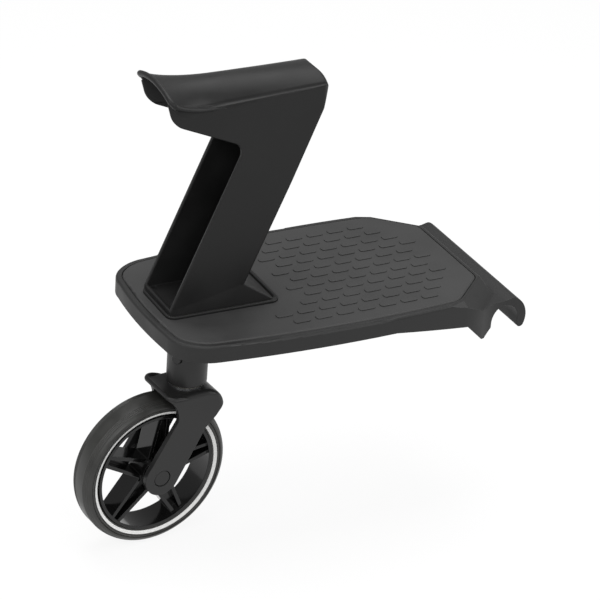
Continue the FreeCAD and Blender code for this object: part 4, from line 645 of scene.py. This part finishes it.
@dataclass
class Seat:
    """Rolled edge of the saddle's lip, and the flange round the seat's foot."""

    rear: float = -334.0
    length: float = 159.0
    side_half: float = 27.2
    lip_half: float = 37.0
    side_ridge: float = 234.7
    ridge_rise: float = 9.0
    lip_height: float = 251.0
    crown_height: float = 256.0
    crown_fall: float = 2.5
    lip_kick: float = 2.5
    flare_run: float = 56.0
    corner: float = 8.0
    corner_ahead: float = 4.2
    side_steps: int = 40
    corner_steps: int = 12
    lip_steps: int = 24
    bead: float = 2.6
    bead_sink: float = 1.4
    bead_end: float = 52.0
    bead_taper: float = 26.0
    bead_sides: int = 12
    foot_rear: float = -322.0
    foot_length: float = 106.0
    foot_rear_half: float = 28.75
    foot_front_half: float = 31.0
    foot_base: float = MAT_TOP
    foot_corner: float = 6.2
    flange_out: float = 2.8
    flange_in: float = 1.6
    flange_height: float = 2.6
    flange_sink: float = 0.2
    flange_steps: int = 8
    bow_steps: int = 5

    def flare(self, ahead: np.ndarray) -> np.ndarray:
        """Share of the flare at distances ahead of the lip: the square of the share of its run to go."""
        return np.clip(1 - ahead / self.flare_run, 0.0, 1.0) ** 2

    def half_width(self, ahead: np.ndarray) -> np.ndarray:
        """Half the saddle's width, from ridge to ridge, at distances ahead of the lip."""
        return self.side_half + (self.lip_half - self.side_half) * self.flare(ahead)

    def saddle_height(self, ahead: np.ndarray, across: np.ndarray) -> np.ndarray:
        """Height of the saddle at places on it.

        Each cross section is a circle's arc from ridge to ridge over the crown, and the ridges flare out and
        up to the lip.

        Args:
            ahead: how far each place lies in front of the lip.
            across: how far it lies to one side.

        Returns:
            Heights of the surface.
        """
        flare = self.flare(ahead)
        half = self.half_width(ahead)
        side = self.side_ridge + self.ridge_rise / self.length * ahead
        ridge = side + (self.lip_height - side) * flare
        crown = self.crown_height - self.crown_fall / self.length * ahead + self.lip_kick * flare
        radius = (half ** 2 + (crown - ridge) ** 2) / (2 * (crown - ridge))
        return crown - radius + np.sqrt(radius ** 2 - np.minimum(np.abs(across), half) ** 2)

    def lip_path(self) -> np.ndarray:
        """Line along the saddle's edge: back along one ridge, round a corner, across the lip, and mirrored.

        Returns:
            One row of x, y and z for each point, from the near ridge to the far one.
        """
        side_ahead = np.linspace(self.bead_end, self.corner_ahead, self.side_steps)
        swing = np.linspace(math.acos(1 - self.corner_ahead / self.corner), 0.0, self.corner_steps)[1:]
        corner_ahead = self.corner * (1 - np.cos(swing))
        corner_across = self.lip_half - self.corner + self.corner * np.sin(swing)
        lip_across = np.linspace(self.lip_half - self.corner, 0.0, self.lip_steps)[1:]
        ahead = np.concatenate([side_ahead, corner_ahead, np.zeros_like(lip_across)])
        across = np.concatenate([self.half_width(side_ahead), corner_across, lip_across])
        height = self.saddle_height(ahead, across) - self.bead_sink
        half_line = np.stack([self.rear + ahead, -across, height], -1)
        return np.concatenate([half_line, half_line[-2::-1] * np.array([1.0, -1.0, 1.0])])

    def build_lip(self, paints: Paintbox) -> bpy.types.Object:
        """Carry a circle along the lip's line, and let it run out to nothing at both ends.

        Args:
            paints: finishes of the board.

        Returns:
            The lip's roll.
        """
        path = self.lip_path()
        points, faces = sweep_circle(path, taper(path, self.bead, self.bead_taper), self.bead_sides)
        return make_piece("seat_lip_roll", points, faces, Body.DECK, paints.get(SEAT_PLASTIC))

    def build_flange(self, paints: Paintbox) -> bpy.types.Object:
        """Carry a round-topped strip round the foot: a long four-sided outline with quarter-circle corners.

        Args:
            paints: finishes of the board.

        Returns:
            The foot's flange.
        """
        front = self.foot_rear + self.foot_length
        corner = self.foot_corner
        middles = np.array([
            (front - corner, self.foot_front_half - corner),
            (self.foot_rear + corner, self.foot_rear_half - corner),
            (self.foot_rear + corner, corner - self.foot_rear_half),
            (front - corner, corner - self.foot_front_half),
        ]).repeat(self.flange_steps, axis=0)
        outward = corner_headings(self.flange_steps)
        bow = np.linspace(0.0, QUARTER_TURN, self.bow_steps)
        bow_radius = self.flange_out / 2
        strip_out = np.concatenate([
            [-self.flange_in, self.flange_out],
            self.flange_out - bow_radius + bow_radius * np.cos(bow),
            [-self.flange_in],
        ])
        strip_up = np.concatenate([
            [-self.flange_sink, -self.flange_sink],
            self.flange_height - bow_radius + bow_radius * np.sin(bow),
            [self.flange_height],
        ])
        flat = middles[:, None, :] + outward[:, None, :] * (corner + strip_out)[None, :, None]
        height = np.broadcast_to(self.foot_base + strip_up[None, :, None], flat.shape[:2] + (1,))
        points = np.concatenate([flat, height], -1).reshape(-1, 3)
        faces = ring_faces(len(middles), len(strip_out), loop=True)[:, ::-1].tolist()
        return make_piece("seat_foot_flange", points, faces, Body.DECK, paints.get(SEAT_PLASTIC))

    def build(self, paints: Paintbox) -> list[bpy.types.Object]:
        """Make the lip's roll and the foot's flange."""
        return [self.build_lip(paints), self.build_flange(paints)]


@dataclass
class Caster:
    """Rolled edge of the fork's rear tip, whose line lies inside the edge by a share of the bead."""

    pivot: tuple[float, float] = (-288.3, 0.0)
    swivel_deg: float = REST_SWIVEL_DEG
    rear: float = 32.0
    half_width: float = 25.0
    corner: float = 7.0
    tip_height: float = -51.2
    fall: float = 3.4
    side_end: float = 12.0
    side_steps: int = 12
    corner_steps: int = 12
    bead: float = 2.3
    bead_inset: float = 0.4
    bead_taper: float = 12.0
    bead_sides: int = 14

    def tip_path(self) -> np.ndarray:
        """Line along the tip's edge: back along one side, round both corners, and forward along the other.

        It falls by the square of the distance from the tip.

        Returns:
            One row of x, y and z for each point, in the swivelled fork's place.
        """
        side_back = np.linspace(self.side_end, self.rear - self.corner, self.side_steps)[:-1]
        swing = np.linspace(0.0, QUARTER_TURN, self.corner_steps)
        corner_back = self.rear - self.corner + self.corner * np.sin(swing)
        back = np.concatenate([side_back, corner_back, [self.rear]])
        across = np.concatenate([
            np.full(len(side_back), self.half_width),
            self.half_width - self.corner + self.corner * np.cos(swing),
            [0.0],
        ])
        inset = self.bead_inset * self.bead
        back = np.concatenate([back, back[-2::-1]]) - inset
        across = np.concatenate([across, -across[-2::-1]]) * (1 - inset / self.half_width)
        height = self.tip_height - self.fall * ((self.rear - back) / (self.rear - self.side_end)) ** 2
        turn = math.radians(self.swivel_deg)
        x = self.pivot[0] - back * math.cos(turn) - across * math.sin(turn)
        y = self.pivot[1] - back * math.sin(turn) + across * math.cos(turn)
        return np.stack([x, y, height], -1)

    def build(self, paints: Paintbox) -> list[bpy.types.Object]:
        """Carry a circle along the tip's line.

        Args:
            paints: finishes of the board.

        Returns:
            The one new piece.
        """
        path = self.tip_path()
        points, faces = sweep_circle(path, taper(path, self.bead, self.bead_taper), self.bead_sides)
        return [make_piece("fork_tip_roll", points, faces, Body.CASTER, paints.get(FORK_NYLON))]


@dataclass
class Wheel:
    """Tyre of the caster wheel, turned about its axle from a profile with fine mould lines.

    The two powers shape the skin's superellipse, and spread_power crowds its points towards the shoulders.
    """

    centre: Point = (-324.14, -3.388, -134.0)
    swivel_deg: float = REST_SWIVEL_DEG
    seat_radius: float = 60.0
    bead_half: float = 12.0
    shoulder_radius: float = 67.5
    shoulder_step: float = 1.0
    half_width: float = 15.5
    crown_radius: float = 75.0
    width_power: float = 2.7
    rise_power: float = 2.2
    spread_power: float = 0.72
    line_rise: float = 0.5
    line_width: float = 0.8
    line_places: tuple[float, ...] = (7.4, 9.1, 10.8, 12.5)
    turn_steps: int = 220
    skin_steps: int = 261
    wall_steps: int = 8

    def profile(self) -> tuple[np.ndarray, np.ndarray]:
        """Line across the tyre's skin, from the near bead over the tread to the far bead.

        The walls are straight. The tread is a superellipse from shoulder to shoulder, lowered by the height
        of the mould lines, and each line is a bell-shaped ridge that comes back up to it.

        Returns:
            Places along the axle, and the radius at each.
        """
        along = -np.cos(np.linspace(0.0, math.pi, self.skin_steps))
        along = np.sign(along) * np.abs(along) ** self.spread_power * self.half_width
        rise = (1 - np.abs(along / self.half_width) ** self.width_power) ** (1 / self.rise_power)
        foot = self.shoulder_radius + self.shoulder_step
        radius = foot + (self.crown_radius - self.shoulder_radius - self.shoulder_step) * rise
        places = np.array(self.line_places)[:, None]
        lines = np.exp(-(((np.abs(along)[None, :] - places) / (self.line_width / 2)) ** 2)).sum(0)
        radius = radius + self.line_rise * (lines - 1) * (rise > 0)
        wall = np.linspace(0.0, 1.0, self.wall_steps)[:-1]
        wall_along = -(self.bead_half + (self.half_width - self.bead_half) * wall)
        wall_radius = self.seat_radius + (self.shoulder_radius - self.seat_radius) * wall
        along = np.concatenate([wall_along, along, -wall_along[::-1]])
        radius = np.concatenate([wall_radius, radius, wall_radius[::-1]])
        return along, radius

    def build(self, paints: Paintbox) -> list[bpy.types.Object]:
        """Turn the profile about the axle, and close it along the rim's seat.

        Args:
            paints: finishes of the board.

        Returns:
            The one new piece.
        """
        along, radius = self.profile()
        turn = np.linspace(0.0, FULL_TURN, self.turn_steps, endpoint=False)[:, None]
        swivel = math.radians(self.swivel_deg)
        axle = np.array([-math.sin(swivel), math.cos(swivel), 0.0])
        ahead = np.array([math.cos(swivel), math.sin(swivel), 0.0])
        spoke = np.cos(turn) * ahead + np.sin(turn) * UP
        middles = np.array(self.centre) + axle * along[None, :, None]
        points = (middles + spoke[:, None, :] * radius[None, :, None]).reshape(-1, 3)
        faces = ring_faces(self.turn_steps, len(along), loop=True).tolist()
        piece = make_piece("tyre_skin", points, faces, Body.WHEEL, paints.get(TYRE_RUBBER))
        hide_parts("tyre")
        return [piece]


@dataclass(frozen=True)
class Coil:
    """Springs of one kind: their fixed ends, and the way from there to the sliding piece that they push."""

    name: str
    node: str
    body: Body
    fixed_ends: tuple[Point, ...]
    heading: Point
    length: float
    outer: float
    wire: float
    turns: float


RELEASE_COIL = Coil(
    "release_coil", "release_spring", Body.RELEASE, fixed_ends=((-275.72, 8.17, -19.0),),
    heading=(-0.83867, -0.54464, 0.0), length=6.0, outer=4.9, wire=0.8, turns=3.0,
)
LATCH_COILS = Coil(
    "latch_coils", "latch_springs", Body.LATCH,
    fixed_ends=((-23.43, -34.0, -9.845), (-23.43, 34.0, -9.845)),
    heading=(0.71934, 0.0, 0.69466), length=6.1, outer=3.5, wire=0.6, turns=3.5,
)


@dataclass
class Springs:
    """Wound springs behind the release button and under the latch plate."""

    coils: tuple[Coil, ...] = (RELEASE_COIL, LATCH_COILS)
    steps: int = 72
    sides: int = 8

    def wind(self, coil: Coil, fixed_end: Point) -> np.ndarray:
        """Points of one spring: a circle carried along a helix of even pitch about the spring's axis.

        Args:
            coil: kind of spring.
            fixed_end: middle of its fixed end.

        Returns:
            One row of x, y and z for each point.
        """
        axis = np.array(coil.heading)
        # The helix may start on any side, so any direction that isn't along the axis gives its first radius.
        side = np.cross(axis, np.array([-axis[1], axis[0], 1.0]))
        side = side / np.linalg.norm(side)
        over = np.cross(axis, side)
        swing = np.linspace(0.0, FULL_TURN * coil.turns, self.steps)[:, None]
        radial = np.cos(swing) * side + np.sin(swing) * over
        rise = coil.wire / 2 + (coil.length - coil.wire) * swing / swing[-1]
        line = np.array(fixed_end) + axis * rise + radial * (coil.outer - coil.wire) / 2
        turn = np.linspace(0.0, FULL_TURN, self.sides, endpoint=False)[None, :, None]
        ring = (radial[:, None, :] * np.cos(turn) - axis * np.sin(turn)) * coil.wire / 2
        return (line[:, None, :] + ring).reshape(-1, 3)

    def build(self, paints: Paintbox) -> list[bpy.types.Object]:
        """Make each kind of spring as one mesh between the deck and the sliding piece.

        Args:
            paints: finishes of the board.

        Returns:
            One piece for each kind of spring.
        """
        one_spring = rod_faces(self.steps, self.sides)
        count = self.steps * self.sides
        pieces = []
        for coil in self.coils:
            points = np.concatenate([self.wind(coil, end) for end in coil.fixed_ends])
            faces = [
                [corner + number * count for corner in face]
                for number in range(len(coil.fixed_ends))
                for face in one_spring
            ]
            piece = make_loose(coil.name, points, faces, paints.get(SPRING_STEEL))
            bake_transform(piece)
            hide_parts(coil.node)
            pieces.append(piece)
        return pieces


@dataclass(frozen=True)
class Lamp:
    """Square softbox: where it hangs, the point that it faces, the side of its square and its power."""

    name: str
    place: Point
    target: Point
    size: float
    watts: float

    def hang(self) -> None:
        """Put the lamp into the scene, turned to its target."""
        data = bpy.data.lights.new(self.name, "AREA")
        data.shape = "SQUARE"
        data.size = self.size * MM
        data.energy = self.watts
        lamp = bpy.data.objects.new(self.name, data)
        lamp.location = Vector(self.place) * MM
        facing = Vector(self.target) - Vector(self.place)
        lamp.rotation_euler = facing.to_track_quat("-Z", "Y").to_euler()
        bpy.context.scene.collection.objects.link(lamp)


LAMPS = (
    Lamp("overhead_softbox", (-150.0, 300.0, 1700.0), (-170.0, 0.0, 0.0), size=1500.0, watts=26.0),
    Lamp("rear_softbox", (-1900.0, -700.0, 1100.0), (-250.0, 0.0, -20.0), size=1200.0, watts=12.0),
    Lamp("front_softbox", (-900.0, -2000.0, 1300.0), (-250.0, 0.0, -50.0), size=1000.0, watts=12.0),
    Lamp("side_softbox", (1500.0, -900.0, 900.0), (-150.0, 0.0, 30.0), size=900.0, watts=15.0),
)


@dataclass
class Studio:
    """Pale floor, soft light and a camera where the photograph was taken from."""

    eye: Point = (-1182.65, -1772.88, 1133.58)
    azimuth_deg: float = -29.62
    elevation_deg: float = 28.81
    roll_deg: float = 4.51
    lens_mm: float = 150.0
    sensor_mm: float = 36.0
    clip_near_m: float = 0.05
    clip_far_m: float = 50.0
    floor_height: float = -209.0
    floor_half: float = 6000.0
    bounce_colour: str = "#c0c0c0"
    glow_share: float = 0.88
    room_light: float = 0.4
    lamps: tuple[Lamp, ...] = LAMPS

    def floor_material(self) -> bpy.types.Material:
        """Matt floor that bounces grey light on the board, and is clear from below.

        The camera sees it white and mostly glowing. The rest is lit, so that it takes the board's shadow.
        Gloss and glass mirror the same glow.

        Returns:
            The floor's material.
        """
        made = bpy.data.materials.new("matt_white_floor")
        tree = empty_tree(made)
        path = add_node(tree, "ShaderNodeLightPath").outputs
        tone = add_node(tree, "ShaderNodeMix", {
            MIX_SHARE: path["Is Camera Ray"],
            MIX_FIRST: linear(self.bounce_colour),
            MIX_SECOND: linear(WHITE),
        }, data_type="RGBA").outputs[MIX_RESULT]
        matt = add_node(tree, "ShaderNodeBsdfDiffuse", {"Color": tone}).outputs["BSDF"]
        glow = add_node(tree, "ShaderNodeEmission", {
            "Color": linear(WHITE), "Strength": 1.0,
        }).outputs["Emission"]
        seen = path["Is Camera Ray"]
        for mirrored in ("Is Glossy Ray", "Is Transmission Ray"):
            seen = add_node(
                tree, "ShaderNodeMath", {0: seen, 1: path[mirrored]}, operation="MAXIMUM",
            ).outputs["Value"]
        share = add_node(
            tree, "ShaderNodeMath", {0: seen, 1: self.glow_share}, operation="MULTIPLY",
        ).outputs["Value"]
        lit = add_node(tree, "ShaderNodeMixShader", {0: share, 1: matt, 2: glow}).outputs["Shader"]
        clear = add_node(tree, "ShaderNodeBsdfTransparent").outputs["BSDF"]
        below = add_node(tree, "ShaderNodeNewGeometry").outputs["Backfacing"]
        one_sided = add_node(tree, "ShaderNodeMixShader", {0: below, 1: lit, 2: clear}).outputs["Shader"]
        add_node(tree, "ShaderNodeOutputMaterial", {"Surface": one_sided})
        return made

    def add_floor(self) -> None:
        """Lay a wide square floor under the tyre."""
        height = self.floor_height * MM
        corners = [(x, y, height) for x, y in (CORNER_SIGNS * self.floor_half * MM).tolist()]
        mesh = bpy.data.meshes.new("studio_floor")
        mesh.from_pydata(corners, [], [list(range(len(corners)))])
        mesh.materials.append(self.floor_material())
        floor = bpy.data.objects.new("studio_floor", mesh)
        bpy.context.scene.collection.objects.link(floor)

    def add_world(self) -> None:
        """Fill the room with even grey light, and show it white to the camera."""
        world = bpy.data.worlds.new("studio_room")
        tree = empty_tree(world)
        path = add_node(tree, "ShaderNodeLightPath").outputs
        strength = add_node(tree, "ShaderNodeMapRange", {
            "Value": path["Is Camera Ray"], "To Min": self.room_light, "To Max": 1.0,
        }).outputs["Result"]
        glow = add_node(tree, "ShaderNodeBackground", {"Color": linear(WHITE), "Strength": strength})
        add_node(tree, "ShaderNodeOutputWorld", {"Surface": glow.outputs["Background"]})
        bpy.context.scene.world = world

    def add_camera(self) -> None:
        """Set the camera by its azimuth, elevation and roll."""
        turn = math.radians(self.azimuth_deg)
        rise = math.radians(self.elevation_deg)
        roll = math.radians(self.roll_deg)
        back = Vector((math.sin(turn) * math.cos(rise), -math.cos(turn) * math.cos(rise), math.sin(rise)))
        right = Vector((math.cos(turn), math.sin(turn), 0.0))
        up = back.cross(right)
        rolled_right = right * math.cos(roll) + up * math.sin(roll)
        rolled_up = up * math.cos(roll) - right * math.sin(roll)
        data = bpy.data.cameras.new("photo_camera")
        data.lens = self.lens_mm
        data.sensor_width = self.sensor_mm
        data.clip_start = self.clip_near_m
        data.clip_end = self.clip_far_m
        camera = bpy.data.objects.new("photo_camera", data)
        facing = Matrix((rolled_right, rolled_up, back)).transposed().to_4x4()
        camera.matrix_world = Matrix.Translation(Vector(self.eye) * MM) @ facing
        bpy.context.scene.collection.objects.link(camera)
        bpy.context.scene.camera = camera

    def build(self) -> None:
        """Set up the floor, the lamps, the room and the camera."""
        self.add_floor()
        for lamp in self.lamps:
            lamp.hang()
        self.add_world()
        self.add_camera()
        bpy.context.scene.view_settings.view_transform = "Standard"


def main() -> None:
    """Build the board's looks, and report each piece."""
    logging.basicConfig(level=logging.INFO, format="%(message)s")
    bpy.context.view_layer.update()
    paints = Paintbox()
    pieces = paints.dress_nodes()
    for assembly in (DeckMat(), Seat(), Caster(), Wheel(), Springs()):
        pieces += assembly.build(paints)
    Studio().build()
    for piece in pieces:
        LOG.info("%s: %d faces, %s", piece.name, len(piece.data.polygons), piece.data.materials[0].name)


if __name__ == "__main__":
    main()
